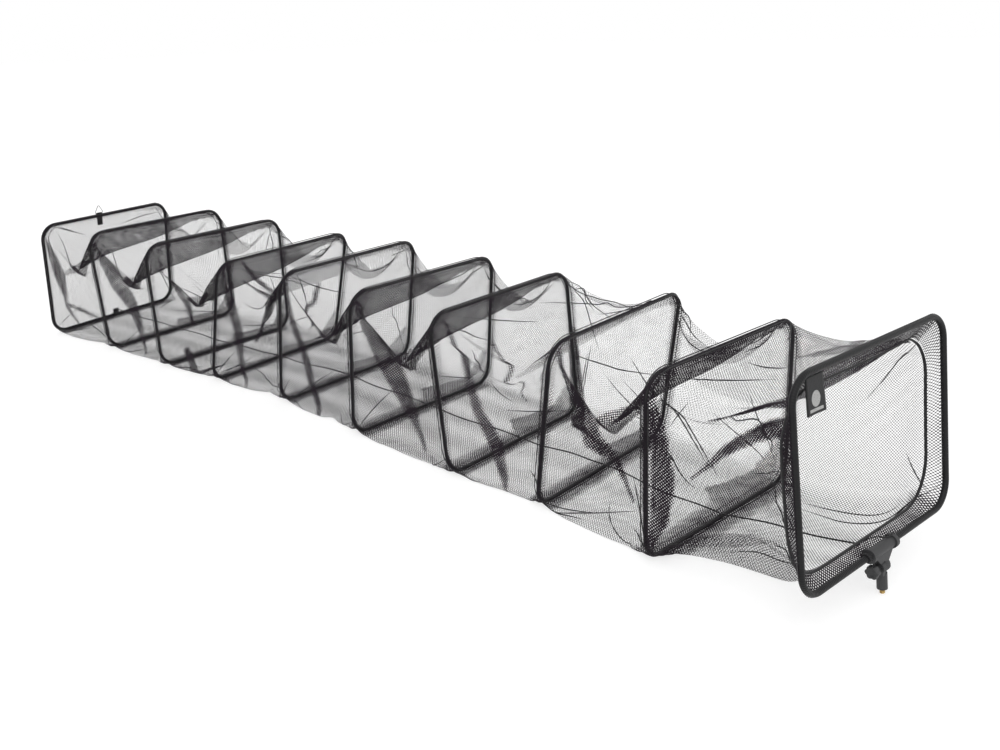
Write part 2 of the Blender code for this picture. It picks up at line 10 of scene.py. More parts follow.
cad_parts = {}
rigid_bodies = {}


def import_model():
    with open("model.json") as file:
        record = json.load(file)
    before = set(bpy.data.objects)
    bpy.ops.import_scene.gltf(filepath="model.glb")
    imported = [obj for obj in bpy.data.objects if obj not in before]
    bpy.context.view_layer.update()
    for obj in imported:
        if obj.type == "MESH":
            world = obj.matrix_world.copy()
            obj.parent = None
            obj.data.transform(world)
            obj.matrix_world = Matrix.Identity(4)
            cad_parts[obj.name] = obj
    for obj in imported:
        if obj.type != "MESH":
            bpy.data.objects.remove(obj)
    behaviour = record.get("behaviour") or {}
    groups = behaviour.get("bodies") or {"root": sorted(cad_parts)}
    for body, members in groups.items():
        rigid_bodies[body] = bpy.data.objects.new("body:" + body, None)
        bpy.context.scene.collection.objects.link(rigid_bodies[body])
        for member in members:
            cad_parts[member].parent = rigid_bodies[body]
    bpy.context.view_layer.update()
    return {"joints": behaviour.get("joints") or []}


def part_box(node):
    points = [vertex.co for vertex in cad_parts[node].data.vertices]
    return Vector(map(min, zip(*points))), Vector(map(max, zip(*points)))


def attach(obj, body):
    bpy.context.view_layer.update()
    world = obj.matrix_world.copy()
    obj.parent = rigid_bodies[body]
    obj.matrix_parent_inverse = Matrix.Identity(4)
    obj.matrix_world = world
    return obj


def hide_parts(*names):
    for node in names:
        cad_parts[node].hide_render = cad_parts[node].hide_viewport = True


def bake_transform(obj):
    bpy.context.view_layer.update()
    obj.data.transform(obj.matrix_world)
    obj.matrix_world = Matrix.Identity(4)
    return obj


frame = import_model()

print("frame loaded")

# how the hoops stand, mouth first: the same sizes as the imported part
hoopFit = {
    "width": 0.488,
    "height": 0.372,
    "corner": 0.048,
    "tubes": [0.006] + [0.00425] * 8 + [0.0055],
    "leans": [-9, -2, 6, -6, 5, 9, 15, 1, -2, 7],
    "yaws": [-8, -6, 0, 0, -2, 1, 4, 2, 3, 8],
    "aboveTilt": 0.034,
}
lastHoop = len(hoopFit["leans"]) - 1


def jointPlace(name):
    return Vector(next(joint["pos_m"] for joint in frame["joints"] if joint["name"] == name))


def hoopFrame(index):
    # each hoop's foot is at its own hinge, and the mouth's is straight above the adaptor's tilt joint
    lean, yaw = math.radians(hoopFit["leans"][index]), math.radians(hoopFit["yaws"][index])
    turn = Euler((0, lean, yaw)).to_matrix()
    if index:
        foot = jointPlace(f"tip_{index}")
    else:
        foot = jointPlace("barrel_tilt") + turn @ Vector((0, 0, hoopFit["aboveTilt"]))
    return Matrix.Translation(foot) @ turn.to_4x4()


hoopFrames = [hoopFrame(index) for index in range(lastHoop + 1)]
middleHoops = [f"hoop_{index}" for index in range(1, lastHoop)]
hoopBodies = ["mouth"] + middleHoops + ["tail"]
hoopNodes = ["mouth_hoop"] + middleHoops + ["tail_hoop"]
bayBodies = ["mouth"] + [f"bay_{index}" for index in range(1, lastHoop + 1)]


def linkNew(data):
    # a new object under its data's own name
    made = bpy.data.objects.new(data.name, data)
    bpy.context.scene.collection.objects.link(made)
    return made


def placed(mesh, body, slot, *nodes):
    # a piece that rides on one body and stands for the CAD nodes
    piece = linkNew(mesh)
    if nodes:
        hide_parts(*nodes)
    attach(piece, body)
    return piece


def boxMiddle(node):
    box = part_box(node)
    return (Vector(box[0]) + Vector(box[1])) / 2


# camera at the photograph's place
cameraFit = {
    "place": (1.8428, -1.5666, 0.9766),
    "yaw": 131.79,
    "pitch": 20.86,
    "roll": -1.65,
    "lens": 33.757,
    "sensor": 36,
    "clipFrom": 0.05,
}


def setCamera():
    yaw, pitch, roll = (math.radians(cameraFit[key]) for key in ("yaw", "pitch", "roll"))
    ahead = Vector((math.cos(pitch) * math.cos(yaw), math.cos(pitch) * math.sin(yaw), -math.sin(pitch)))
    side = ahead.cross(Vector((0, 0, 1))).normalized()
    above = side.cross(ahead)
    right = math.cos(roll) * side + math.sin(roll) * above
    upward = -math.sin(roll) * side + math.cos(roll) * above
    eye = bpy.data.cameras.new("eye")
    eye.sensor_width = cameraFit["sensor"]
    eye.lens = cameraFit["lens"]
    eye.clip_start = cameraFit["clipFrom"]
    holder = linkNew(eye)
    turn = Matrix((right, upward, -ahead)).transposed().to_4x4()
    holder.matrix_world = Matrix.Translation(cameraFit["place"]) @ turn
    bpy.context.scene.camera = holder


setCamera()
print("camera set")


class Reckoned:
    # a shader value: each sum, product or comparison of it is a Math node
    def __init__(self, tree, socket):
        self.tree = tree
        self.socket = socket

    def step(self, operation, other=None):
        node = self.tree.nodes.new("ShaderNodeMath")
        node.operation = operation
        for socket, value in zip(node.inputs, (self, other)):
            if isinstance(value, Reckoned):
                self.tree.links.new(value.socket, socket)
            elif value is not None:
                socket.default_value = value
        return Reckoned(self.tree, node.outputs[0])

    def __add__(self, other):
        return self.step("ADD", other)

    def __sub__(self, other):
        return self.step("SUBTRACT", other)

    def __mul__(self, other):
        return self.step("MULTIPLY", other)

    def __lt__(self, other):
        return self.step("LESS_THAN", other)

    def __gt__(self, other):
        return self.step("GREATER_THAN", other)

    def __abs__(self):
        return self.step("ABSOLUTE")

    def sine(self):
        return self.step("SINE")


class Finish:
    # a Principled material in the making
    def __init__(self, name, colour, roughness, metallic=0.0, level=0.5):
        self.made = bpy.data.materials.new(name)
        self.made.use_nodes = True
        self.tree = self.made.node_tree
        self.shader = self.tree.nodes["Principled BSDF"]
        self.give("Base Color", (*colour, 1))
        self.give("Roughness", roughness)
        self.give("Metallic", metallic)
        self.give("Specular IOR Level", level)

    def give(self, name, value):
        if isinstance(value, Reckoned):
            self.tree.links.new(value.socket, self.shader.inputs[name])
        else:
            self.shader.inputs[name].default_value = value

    def node(self, kind, inputs, **traits):
        made = self.tree.nodes.new(f"ShaderNode{kind}")
        for name, value in traits.items():
            setattr(made, name, value)
        for name, value in inputs.items():
            if isinstance(value, Reckoned):
                self.tree.links.new(value.socket, made.inputs[name])
            else:
                made.inputs[name].default_value = value
        return made

    def value(self, node, output=0):
        return Reckoned(self.tree, node.outputs[output])

    def metres(self):
        # the UV map in metres: the vector and its two parts
        place = self.value(self.node("UVMap", {}, uv_map="metres"))
        parts = self.node("SeparateXYZ", {0: place})
        return place, self.value(parts, 0), self.value(parts, 1)

    def place(self):
        return self.value(self.node("TexCoord", {}), "Object")

    def noise(self, vector, scale, detail=3.0):
        return self.value(self.node("TexNoise", {"Scale": scale, "Detail": detail, "Vector": vector}))

    def vary(self, name, factor, first, second):
        # an input that wanders between two values or two colours
        if isinstance(first, tuple):
            colours = {"A": (*first, 1), "B": (*second, 1), "Factor": factor}
            self.give(name, self.value(self.node("Mix", colours, data_type="RGBA"), "Result"))
        else:
            span = {"To Min": first, "To Max": second, "Value": factor}
            self.give(name, self.value(self.node("MapRange", span)))

    def mottle(self, place, look):
        patch = self.noise(place, look["patches"])
        self.vary("Base Color", patch, look["dark"], look["light"])
        self.vary("Roughness", patch, *look["rough"])

    def bump(self, height, distance, strength=0.7, invert=False):
        relief = {"Strength": strength, "Distance": distance, "Height": height}
        self.give("Normal", self.value(self.node("Bump", relief, invert=invert)))


def seenDirectly(tree):
    # 1 on camera, glossy and transmission rays
    rays = tree.nodes.new("ShaderNodeLightPath").outputs
    camera, glossy, through = (
        Reckoned(tree, rays[f"Is {kind} Ray"]) for kind in ("Camera", "Glossy", "Transmission")
    )
    return camera.step("MAXIMUM", glossy).step("MAXIMUM", through)


# studio: white floor, even soft light
studio = {
    "floorWhite": 0.42,
    "floorRough": 0.9,
    "floorGlow": 0.70,
    "floorReach": 30,
    "floorDrop": 0.0004,
    "world": 0.75,
    "netLayers": 64,
    "lampSize": 3.0,
    "aim": (0, 0, 0.2),
    "lamps": {"keyLamp": ((2.2, -2.4, 3.2), 55), "fillLamp": ((-2.6, 2.2, 2.8), 26)},
}


def buildAir():
    scene = bpy.context.scene
    scene.view_settings.view_transform = "Standard"
    scene.cycles.transparent_max_bounces = studio["netLayers"]
    scene.world = bpy.data.worlds.new("studioAir")
    scene.world.use_nodes = True
    tree = scene.world.node_tree
    tree.nodes.clear()
    mix = tree.nodes.new("ShaderNodeMixShader")
    tree.links.new(seenDirectly(tree).socket, mix.inputs["Fac"])
    for slot, strength in ((1, studio["world"]), (2, 1.0)):
        air = tree.nodes.new("ShaderNodeBackground")
        air.inputs["Color"].default_value = (1, 1, 1, 1)
        air.inputs["Strength"].default_value = strength
        tree.links.new(air.outputs[0], mix.inputs[slot])
    tree.links.new(mix.outputs[0], tree.nodes.new("ShaderNodeOutputWorld").inputs["Surface"])


def buildLamps():
    for name, (place, power) in studio["lamps"].items():
        light = bpy.data.lights.new(name, "AREA")
        light.size = studio["lampSize"]
        light.energy = power
        made = linkNew(light)
        made.location = place
        made.rotation_euler = (Vector(studio["aim"]) - Vector(place)).to_track_quat("-Z", "Y").to_euler()


def buildFloor():
    shape = bmesh.new()
    bmesh.ops.create_grid(shape, x_segments=1, y_segments=1, size=studio["floorReach"])
    mesh = bpy.data.meshes.new("studioFloor")
    shape.to_mesh(mesh)
    shape.free()
    floor = linkNew(mesh)
    floor.location.z = -studio["floorDrop"]
    white = Finish("floorWhite", (studio["floorWhite"],) * 3, studio["floorRough"], level=0.0)
    shown = seenDirectly(white.tree) * studio["floorGlow"]
    glow = white.node("Emission", {"Color": (1, 1, 1, 1), "Strength": shown})
    both = white.node("AddShader", {})
    white.tree.links.new(white.shader.outputs[0], both.inputs[0])
    white.tree.links.new(glow.outputs[0], both.inputs[1])
    white.tree.links.new(both.outputs[0], white.tree.nodes["Material Output"].inputs["Surface"])
    mesh.materials.append(white.made)


buildAir()
buildLamps()
buildFloor()
print("studio built")

# finishes of the netting, hoops, cords, webbing, mouldings, thread and metal
finishes = {
    "netting": {"cell": 0.0047, "openAbove": 0.088, "closing": 0.40, "dark": (0.010, 0.006, 0.010),
                "light": (0.024, 0.017, 0.025), "patches": 9.0, "uneven": (0.25, 1.5), "unevenness": 22.0,
                "relief": 0.0004},
    "cover": {"dark": (0.007, 0.007, 0.008), "light": (0.018, 0.018, 0.019), "rough": (0.30, 0.52),
              "patches": 40.0, "grain": 900.0, "lashing": 0.0042, "slant": 0.12, "relief": 0.00022},
    "cord": {"dark": (0.010, 0.010, 0.011), "light": (0.032, 0.031, 0.033), "braid": 0.0022,
             "relief": 0.0003},
    "webbing": {"dark": (0.009, 0.009, 0.010), "light": (0.026, 0.026, 0.027), "yarn": 0.0011,
                "weave": 0.3, "patches": 120.0, "relief": 0.0002},
    "moulding": {"dark": (0.034, 0.034, 0.036), "light": (0.056, 0.056, 0.058), "rough": (0.42, 0.6),
                 "patches": 90.0, "grain": 2600.0, "relief": 0.0001},
    "thread": {"dark": (0.036, 0.036, 0.038), "light": (0.066, 0.066, 0.068), "patches": 500.0,
               "twist": 0.0006, "relief": 0.00008},
    "metal": {"roughShares": (0.8, 1.5), "patches": 160.0, "grain": 1400.0, "relief": 0.00005},
}


def crossing(one, two):
    # 0 along two sets of slanting threads, up to 1 in the cells between them
    return abs((one + two).sine() * (one - two).sine())


def nettingFinish():
    # dark threads round open diamond cells, which the attribute "bunched" closes where it is above 0
    look = finishes["netting"]
    finish = Finish("netting", look["dark"], roughness=0.75, level=0.2)
    place, across, along = finish.metres()
    step = math.pi / (look["cell"] * math.sqrt(2))
    hollow = crossing(across * step, along * step)
    gathered = finish.value(finish.node("Attribute", {}, attribute_name="bunched"), "Fac")
    least, span = look["uneven"]
    uneven = finish.noise(place, look["unevenness"], detail=2.0) * span + least
    finish.give("Alpha", hollow < gathered * uneven * look["closing"] + look["openAbove"])
    finish.vary("Base Color", finish.noise(place, look["patches"]), look["dark"], look["light"])
    finish.bump(hollow, look["relief"], strength=0.5, invert=True)
    return finish.made


def coverFinish():
    # black plastic cover over the hoops, with the fine lashing that holds the netting
    look = finishes["cover"]
    finish = Finish("hoopCover", look["dark"], roughness=0.4, level=0.2)
    place, along, around = finish.metres()
    finish.mottle(place, look)
    turns = ((along + around * look["slant"]) * (2 * math.pi / look["lashing"])).sine()
    finish.bump(turns + finish.noise(place, look["grain"], detail=2.0), look["relief"])
    return finish.made


def cordFinish():
    # braided black cord
    look = finishes["cord"]
    finish = Finish("cordBlack", look["dark"], roughness=0.72, level=0.3)
    along, around = finish.metres()[1:]
    step = math.pi / look["braid"]
    braid = crossing(along * step, around * step)
    finish.vary("Base Color", braid, look["dark"], look["light"])
    finish.bump(braid, look["relief"])
    finish.give("Sheen Weight", 0.15)
    return finish.made


def webbingFinish():
    # flat black webbing, yarn over yarn
    look = finishes["webbing"]
    finish = Finish("webbingBlack", look["dark"], roughness=0.78, level=0.3)
    place, across, along = finish.metres()
    step = 2 * math.pi / look["yarn"]
    weave = (across * step).sine() * (along * step).sine()
    shade = weave * look["weave"] + finish.noise(place, look["patches"])
    finish.vary("Base Color", shade, look["dark"], look["light"])
    finish.bump(weave, look["relief"])
    finish.give("Sheen Weight", 0.2)
    return finish.made


def threadFinish():
    # twisted grey sewing thread
    look = finishes["thread"]
    finish = Finish("threadGrey", look["dark"], roughness=0.7, level=0.3)
    place, along, around = finish.metres()
    finish.vary("Base Color", finish.noise(place, look["patches"]), look["dark"], look["light"])
    finish.bump(((along + around) * (2 * math.pi / look["twist"])).sine(), look["relief"])
    return finish.made


def mouldingFinish():
    # dark grey glass-filled plastic with a fine spark texture
    look = finishes["moulding"]
    finish = Finish("mouldedGrey", look["dark"], roughness=0.5, level=0.45)
    place = finish.place()
    finish.mottle(place, look)
    finish.bump(finish.noise(place, look["grain"], detail=2.0), look["relief"], strength=0.5)
    return finish.made


def metalFinish(name, dull, bright, roughness):
    rough = tuple(roughness * share for share in finishes["metal"]["roughShares"])
    look = dict(finishes["metal"], dark=dull, light=bright, rough=rough)
    finish = Finish(name, bright, roughness, metallic=1.0)
    place = finish.place()
    finish.mottle(place, look)
    finish.bump(finish.noise(place, look["grain"], detail=2.0), look["relief"], strength=0.4)
    return finish.made


netting = nettingFinish()
hoopCover = coverFinish()
cordBlack = cordFinish()
webbingBlack = webbingFinish()
threadGrey = threadFinish()
mouldedGrey = mouldingFinish()
brass = metalFinish("brass", (0.36, 0.24, 0.09), (0.66, 0.47, 0.20), 0.3)
steel = metalFinish("steel", (0.22, 0.22, 0.22), (0.42, 0.42, 0.43), 0.34)
print("finishes ready")


def finishedMesh(name, vertices, faces, material, uvs=()):
    # a smooth mesh with outward faces and, where given, a UV map in metres
    mesh = bpy.data.meshes.new(name)
    mesh.from_pydata(vertices, [], faces)
    if len(uvs):
        mesh.uv_layers.new(name="metres").data.foreach_set("uv", np.array(uvs, np.float32).ravel())
    shape = bmesh.new()
    shape.from_mesh(mesh)
    bmesh.ops.recalc_face_normals(shape, faces=shape.faces)
    shape.to_mesh(mesh)
    shape.free()
    mesh.shade_smooth()
    mesh.materials.append(material)
    return mesh


def ringFaces(rings, sides, closed=False):
    # faces between rings of vertices in order, and a cap at each end of an open run
    faces = []
    for ring in range(rings if closed else rings - 1):
        low, high = ring * sides, (ring + 1) % rings * sides
        for turn in range(sides):
            beside = (turn + 1) % sides
            faces.append((low + turn, low + beside, high + beside, high + turn))
    if not closed:
        faces += [tuple(range(sides))[::-1], tuple(range((rings - 1) * sides, rings * sides))]
    return faces


def reachAlong(line):
    # the length of a line up to each of its points
    return np.concatenate([[0], np.cumsum(np.linalg.norm(np.diff(np.asarray(line, float), axis=0), axis=1))])


def tubeMesh(name, points, radius, material, sides=10, closed=False, flat=1.0):
    # a round skin along a line of points, with a UV map in metres along and around it
    line = np.asarray(points, float)
    count = len(line)
    ahead = np.roll(line, -1, 0) - np.roll(line, 1, 0)
    if not closed:
        ahead[0], ahead[-1] = line[1] - line[0], line[-1] - line[-2]
    ahead /= np.linalg.norm(ahead, axis=1, keepdims=True)
    across = np.cross(ahead[0], (0, 0, 1.0) if abs(ahead[0][2]) < 0.9 else (1.0, 0, 0))
    carried = [across / np.linalg.norm(across)]
    for spot in range(1, count + (1 if closed else 0)):
        forward = ahead[spot % count]
        kept = carried[-1] - forward * (carried[-1] @ forward)
        carried.append(kept / np.linalg.norm(kept))
    twist = 0.0
    if closed:  # what the ends are turned apart is shared out along the line
        twist = -math.atan2(carried[-1] @ np.cross(ahead[0], carried[0]), carried[-1] @ carried[0])
        carried = carried[:-1]
    side = np.array(carried)
    above = np.cross(ahead, side)
    radii = np.broadcast_to(np.asarray(radius, float), (count,))[:, None, None]
    angles = (np.arange(sides) / sides * 2 * math.pi)[None, :] + (twist * np.arange(count) / count)[:, None]
    ring = np.cos(angles)[..., None] * side[:, None] + flat * np.sin(angles)[..., None] * above[:, None]
    vertices = (line[:, None] + radii * ring).reshape(-1, 3).tolist()
    reach = reachAlong(np.concatenate([line, line[:1]]))
    girth = 2 * math.pi * float(radii.mean()) / sides
    uvs = []
    for near, far in zip(reach[:count if closed else count - 1], reach[1:]):
        for low in range(sides):
            left, right = low * girth, (low + 1) * girth
            uvs += [(near, left), (near, right), (far, right), (far, left)]
    if not closed:
        rim = [turn * girth for turn in range(sides)]
        uvs += [(reach[0], spot) for spot in rim[::-1]] + [(reach[count - 1], spot) for spot in rim]
    return finishedMesh(name, vertices, ringFaces(count, sides, closed), material, uvs)


def cordPiece(name, points, radius, lay, *nodes):
    # a limp cord whose two ends are both on the object
    piece = linkNew(tubeMesh(name, points, radius, cordBlack))
    if nodes:
        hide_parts(*nodes)
    return piece


def outlinePoints(width, height, corner, count):
    # evenly spaced points (across, up) round a rounded rectangle from the middle of its foot, and its length
    up = height - 2 * corner
    side = width - 2 * corner
    bend = math.pi * corner / 2
    runs = [("line", side / 2), ("bend", bend), ("line", up), ("bend", bend), ("line", side)]
    runs += [("bend", bend), ("line", up), ("bend", bend), ("line", side / 2)]
    total = sum(length for kind, length in runs)
    points = []
    for spot in range(count):
        left = spot / count * total
        here = Vector((0.0, 0.0))
        heading = 0.0
        for kind, length in runs:
            part = min(left, length)
            if kind == "line":
                here += Vector((math.cos(heading), math.sin(heading))) * part
            else:
                turned = heading + part / corner
                rise = math.cos(heading) - math.cos(turned)
                here += corner * Vector((math.sin(turned) - math.sin(heading), rise))
                heading = turned
            left -= part
            if left <= 1e-12:
                break
        points.append((here.x, here.y))
    return points, total


def hoopOutline(count, grow, corner=0.0):
    # the hoops' own outline, larger or smaller by a margin, and with rounder corners
    size = (hoopFit["width"] + 2 * grow, hoopFit["height"] + 2 * grow, hoopFit["corner"] + grow + corner)
    return outlinePoints(*size, count)


def hoopLine(index, count, grow=0.0, corner=0.0, back=0.0):
    # that outline in a hoop's plane, or shifted along its normal
    outline = hoopOutline(count, grow, corner)[0]
    return [tuple(hoopFrames[index] @ Vector((back, across, up - grow))) for across, up in outline]


# how the netting is cut, and how it settles between its hoops
netCut = {
    "around": 66,
    "rows": 15,
    "proudOfTube": 0.0008,
    "crumpleTo": 0.97,
    "skew": 1.02,
    "skewPull": 0.4,
    "ripple": 0.008,
    "gather": 0.05,
    "seed": 7,
    "hemAt": 0.085,
    "hemSpread": 0.05,
    "hemDrawn": 0.11,
    "coarse": {"runs": [(100, 0.008), (50, 0.006)], "held": 0.97, "smooth": 0.006},
    "fine": {"runs": [(50, 0.005), (30, 0.004)], "held": 0.95, "smooth": 0.003},
    "rounds": 4,
    "floor": 0.0013,
    "floorDrag": 0.4,
    "lowest": 0.0011,
    "thickness": 0.0006,
}
# places round the netting, as shares from the middle of its foot towards the far side and back
stations = (0, 0.148, 0.26, 0.372, 0.5, 0.628, 0.74, 0.852, 1)
# how much longer than the gap the netting is cut, at those places
looseBay = [1.03, 1.01, 1.01, 1.0, 1.05, 1.09, 1.08, 1.03]
tautFoot = [1.0, 1.0, 1.01, 1.0, 1.045, 1.09, 1.05, 1.0]
deepTop = [1.03, 1.01, 1.03, 1.08, 1.10, 1.10, 1.08, 1.03]
slackShares = [tautFoot, deepTop, looseBay] + [deepTop] * 6
# creases: (share round, share along, strength) points
valleyLine = [
    (0.37, 0.03, 0.1), (0.42, 0.08, 0.5), (0.5, 0.17, 1), (0.6, 0.26, 1), (0.65, 0.32, 0.9),
    (0.71, 0.42, 0.2),
]
mouthValley = [(0.37, 0.03, 0.1), (0.42, 0.08, 0.5), (0.5, 0.17, 1), (0.575, 0.24, 0.7), (0.61, 0.27, 0.1)]
slantLine = [(0.64, 0.96, 0.2), (0.74, 0.5, 1), (0.84, 0.05, 0.3)]
upperPleat = [(0.62, 0.03, 0.3), (0.66, 0.28, 1), (0.70, 0.53, 0.3)]
lowerPleat = [(0.64, 0.05, 0.3), (0.70, 0.35, 1), (0.767, 0.66, 0.3)]
footLift = [(0.83, 0.08, 0.4), (0.865, 0.45, 1), (0.86, 0.85, 0.3)]
farEdge = [(0.375, 0.95, 0.4), (0.372, 0.6, 1), (0.385, 0.2, 0.4)]
# each crease's points, width and pull, in the mouth's bay and in the others
mouthCreases = [
    (mouthValley, 0.012, (0, 0, -36)),
    (slantLine, 0.012, (0, 5, -1)),
    (upperPleat, 0.010, (0, 2, -2)),
    (lowerPleat, 0.010, (0, 2, -2)),
    (footLift, 0.05, (0, 2.4, 4.2)),
]
wallCreases = [
    (valleyLine, 0.012, (0, 0, -36)),
    (slantLine, 0.012, (0, 10, -2)),
    (farEdge, 0.03, (0, -5, -16)),
]
valleyShares = [1, 1, 0.25, 1, 1, 0.35, 1, 1, 1]


def creasesFor(bay):
    if bay == 1:
        return mouthCreases
    (line, width, pull), slant, edge = wallCreases
    valley = (line, width, tuple(part * valleyShares[bay - 1] for part in pull))
    return [valley, slant] if bay == 3 else [valley, slant, edge]


# the length of the netting round a hoop
perimeter = hoopOutline(4, hoopFit["tubes"][1] + netCut["proudOfTube"])[1]


def nearestOn(count, rows, bayLength, points):
    # how far each place of a bay's netting is from a line, and the line's third value there
    around = np.arange(count)[None, :] / count * perimeter
    along = np.linspace(0, bayLength, rows)[:, None]
    nearest = np.full((rows, count), np.inf)
    value = np.zeros((rows, count))
    for first, second in zip(points, points[1:]):
        startX, startY = first[0] * perimeter, first[1] * bayLength
        runX, runY = second[0] * perimeter - startX, second[1] * bayLength - startY
        share = ((around - startX) * runX + (along - startY) * runY) / (runX**2 + runY**2)
        share = np.clip(share, 0, 1)
        far = np.hypot(around - startX - share * runX, along - startY - share * runY)
        value = np.where(far < nearest, first[2] + (second[2] - first[2]) * share, value)
        nearest = np.minimum(nearest, far)
    return nearest, value


def cutNetting(count, rows):
    # straight netting between the hoops, the lengths of its threads, and the pull of its creases
    margins = [tube + netCut["proudOfTube"] for tube in hoopFit["tubes"]]
    lines = [np.array(hoopLine(index, count, margin)) for index, margin in enumerate(margins)]
    share = np.linspace(0, 1, rows)
    points = np.zeros((lastHoop, rows, count, 3))
    restAlong = np.zeros((lastHoop, 1, count, 1))
    restAround = np.full((lastHoop, rows, 1, 1), perimeter / count)
    pulls = np.zeros((lastHoop, rows, count, 3))
    for bay in range(lastHoop):
        near, far = lines[bay], lines[bay + 1]
        points[bay] = near[None] * (1 - share)[:, None, None] + far[None] * share[:, None, None]
        gaps = np.linalg.norm(far - near, axis=1)
        slack = slackShares[bay] + slackShares[bay][:1]
        restAlong[bay, 0, :, 0] = gaps * np.interp(np.arange(count) / count, stations, slack) / (rows - 1)
        for line, width, pull in creasesFor(bay + 1):
            nearest, strength = nearestOn(count, rows, gaps.mean(), line)
            pulls[bay] += (strength * np.exp(-((nearest / width) ** 2)))[..., None] * np.array(pull)
    drawn = netCut["hemDrawn"] * np.exp(-(((share - netCut["hemAt"]) / netCut["hemSpread"]) ** 2))
    restAround[0, :, 0, 0] *= 1 - drawn
    return points, restAlong, restAround, pulls


def pulled(first, second, rest, least, share=0.5):
    # a thread only pulls back to its length, and crumples no further than least of it
    gap = second - first
    far = np.maximum(np.sqrt((gap**2).sum(-1, keepdims=True)), 1e-9)
    move = gap * ((far - np.clip(far, rest * least, rest)) / far * share)
    first += move
    return move


def rowPair(values, start):
    # every second row from the start, and the row after each
    count = (values.shape[1] - start) // 2
    return values[:, start:start + 2 * count:2], values[:, start + 1:start + 2 * count:2]


def settle(points, restAlong, restAround, pulls, steps, drop, held, smooth):
    # points are bays x rows x places round x 3, and change where they are
    ends = points[:, [0, -1]].copy()
    last = points.copy()
    crumple = netCut["crumpleTo"]
    rowPairs = [rowPair(points, start) for start in (0, 1)]
    even, odd = points[:, :, 0::2], points[:, :, 1::2]
    slanting = []
    for start in (0, 1):
        above, below = rowPair(restAround, start)
        slanting.append(np.sqrt(restAlong**2 + ((above + below) / 2) ** 2) * netCut["skew"])
    for step in range(steps):
        speed = (points - last) * held
        last = points.copy()
        points += speed + pulls * drop
        points[..., 2] -= drop
        for turn in range(netCut["rounds"]):
            for first, below in rowPairs:
                below -= pulled(first, below, restAlong, crumple)
            odd -= pulled(even, odd, restAround, crumple)
            even -= np.roll(pulled(odd, np.roll(even, -1, axis=2), restAround, crumple), 1, axis=2)
            for lean in (1, -1):
                for (first, below), rest in zip(rowPairs, slanting):
                    move = pulled(first, np.roll(below, -lean, axis=2), rest, 0.0, netCut["skewPull"])
                    below -= np.roll(move, lean, axis=2)
            points[:, [0, -1]] = ends
        around = points[:, :-2] + points[:, 2:]
        for way in (1, -1):
            around = around + np.roll(points, way, 2)[:, 1:-1]
        points[:, 1:-1] += (around / 4 - points[:, 1:-1]) * smooth
        low = points[..., 2] < netCut["floor"]
        points[..., 2][low] = netCut["floor"]
        for axis in (0, 1):  # the floor drags
            here, before = points[..., axis], last[..., axis]
            here[low] = before[low] + (here[low] - before[low]) * netCut["floorDrag"]
        points[:, [0, -1]] = ends
    return points


def finer(points):
    # twice the rows and twice the places round, on smooth curves
    bays, rows, count, axes = points.shape
    before, after = 2 * points[:, :1] - points[:, 1:2], 2 * points[:, -1:] - points[:, -2:-1]
    padded = np.concatenate([before, points, after], 1)
    longer = np.zeros((bays, 2 * rows - 1, count, axes))
    longer[:, ::2] = points
    longer[:, 1::2] = (9 * (padded[:, 1:-2] + padded[:, 2:-1]) - (padded[:, :-3] + padded[:, 3:])) / 16
    wider = np.zeros((bays, 2 * rows - 1, 2 * count, axes))
    wider[:, :, ::2] = longer
    near, far = longer + np.roll(longer, -1, 2), np.roll(longer, 1, 2) + np.roll(longer, -2, 2)
    wider[:, :, 1::2] = (9 * near - far) / 16
    return wider


def rippled(points):
    # a gentle unevenness that starts the folds
    bays, rows, count = points.shape[:3]
    random = np.random.RandomState(netCut["seed"])
    share = np.linspace(0, 1, rows)
    swell = (4 * share * (1 - share))[:, None, None]
    for bay in range(bays):
        knots = random.randn(rows // 4 + 2, count // 6, 3)
        spots = np.arange(count) * knots.shape[1] / count
        low = np.floor(spots).astype(int) % knots.shape[1]
        high = (low + 1) % knots.shape[1]
        between = (spots - np.floor(spots))[None, :, None]
        rowSpots = np.linspace(0, knots.shape[0] - 1, rows)
        lower = np.floor(rowSpots).astype(int).clip(0, knots.shape[0] - 2)
        part = (rowSpots - lower)[:, None, None]
        tall = knots[lower] * (1 - part) + knots[lower + 1] * part
        middle = points[bay].mean(1, keepdims=True)
        points[bay] += (middle - points[bay]) * netCut["gather"] * swell
        points[bay] += (tall[:, low] * (1 - between) + tall[:, high] * between) * netCut["ripple"] * swell
    return points


def settledNetting():
    # settled coarse, then finer, with the length that each bay is cut to
    points, *lengths = cutNetting(netCut["around"], netCut["rows"])
    points = rippled(points)
    for stage in ("coarse", "fine"):
        if stage == "fine":
            points = finer(points)
            lengths = cutNetting(points.shape[2], points.shape[1])[1:]
        for steps, speed in netCut[stage]["runs"]:
            settle(points, *lengths, steps, 9.81 * speed**2, netCut[stage]["held"], netCut[stage]["smooth"])
    return finer(points), lengths[0].mean(axis=(1, 2, 3)) * (points.shape[1] - 1)


# the elastic hem draws the mouth's netting in, most at the corners and over the tee
hemRows = (5, 6)
hemShape = {"sides": 0.010, "foot": 0.012, "top": 0.034, "corner": 0.088, "spread": 7.0}


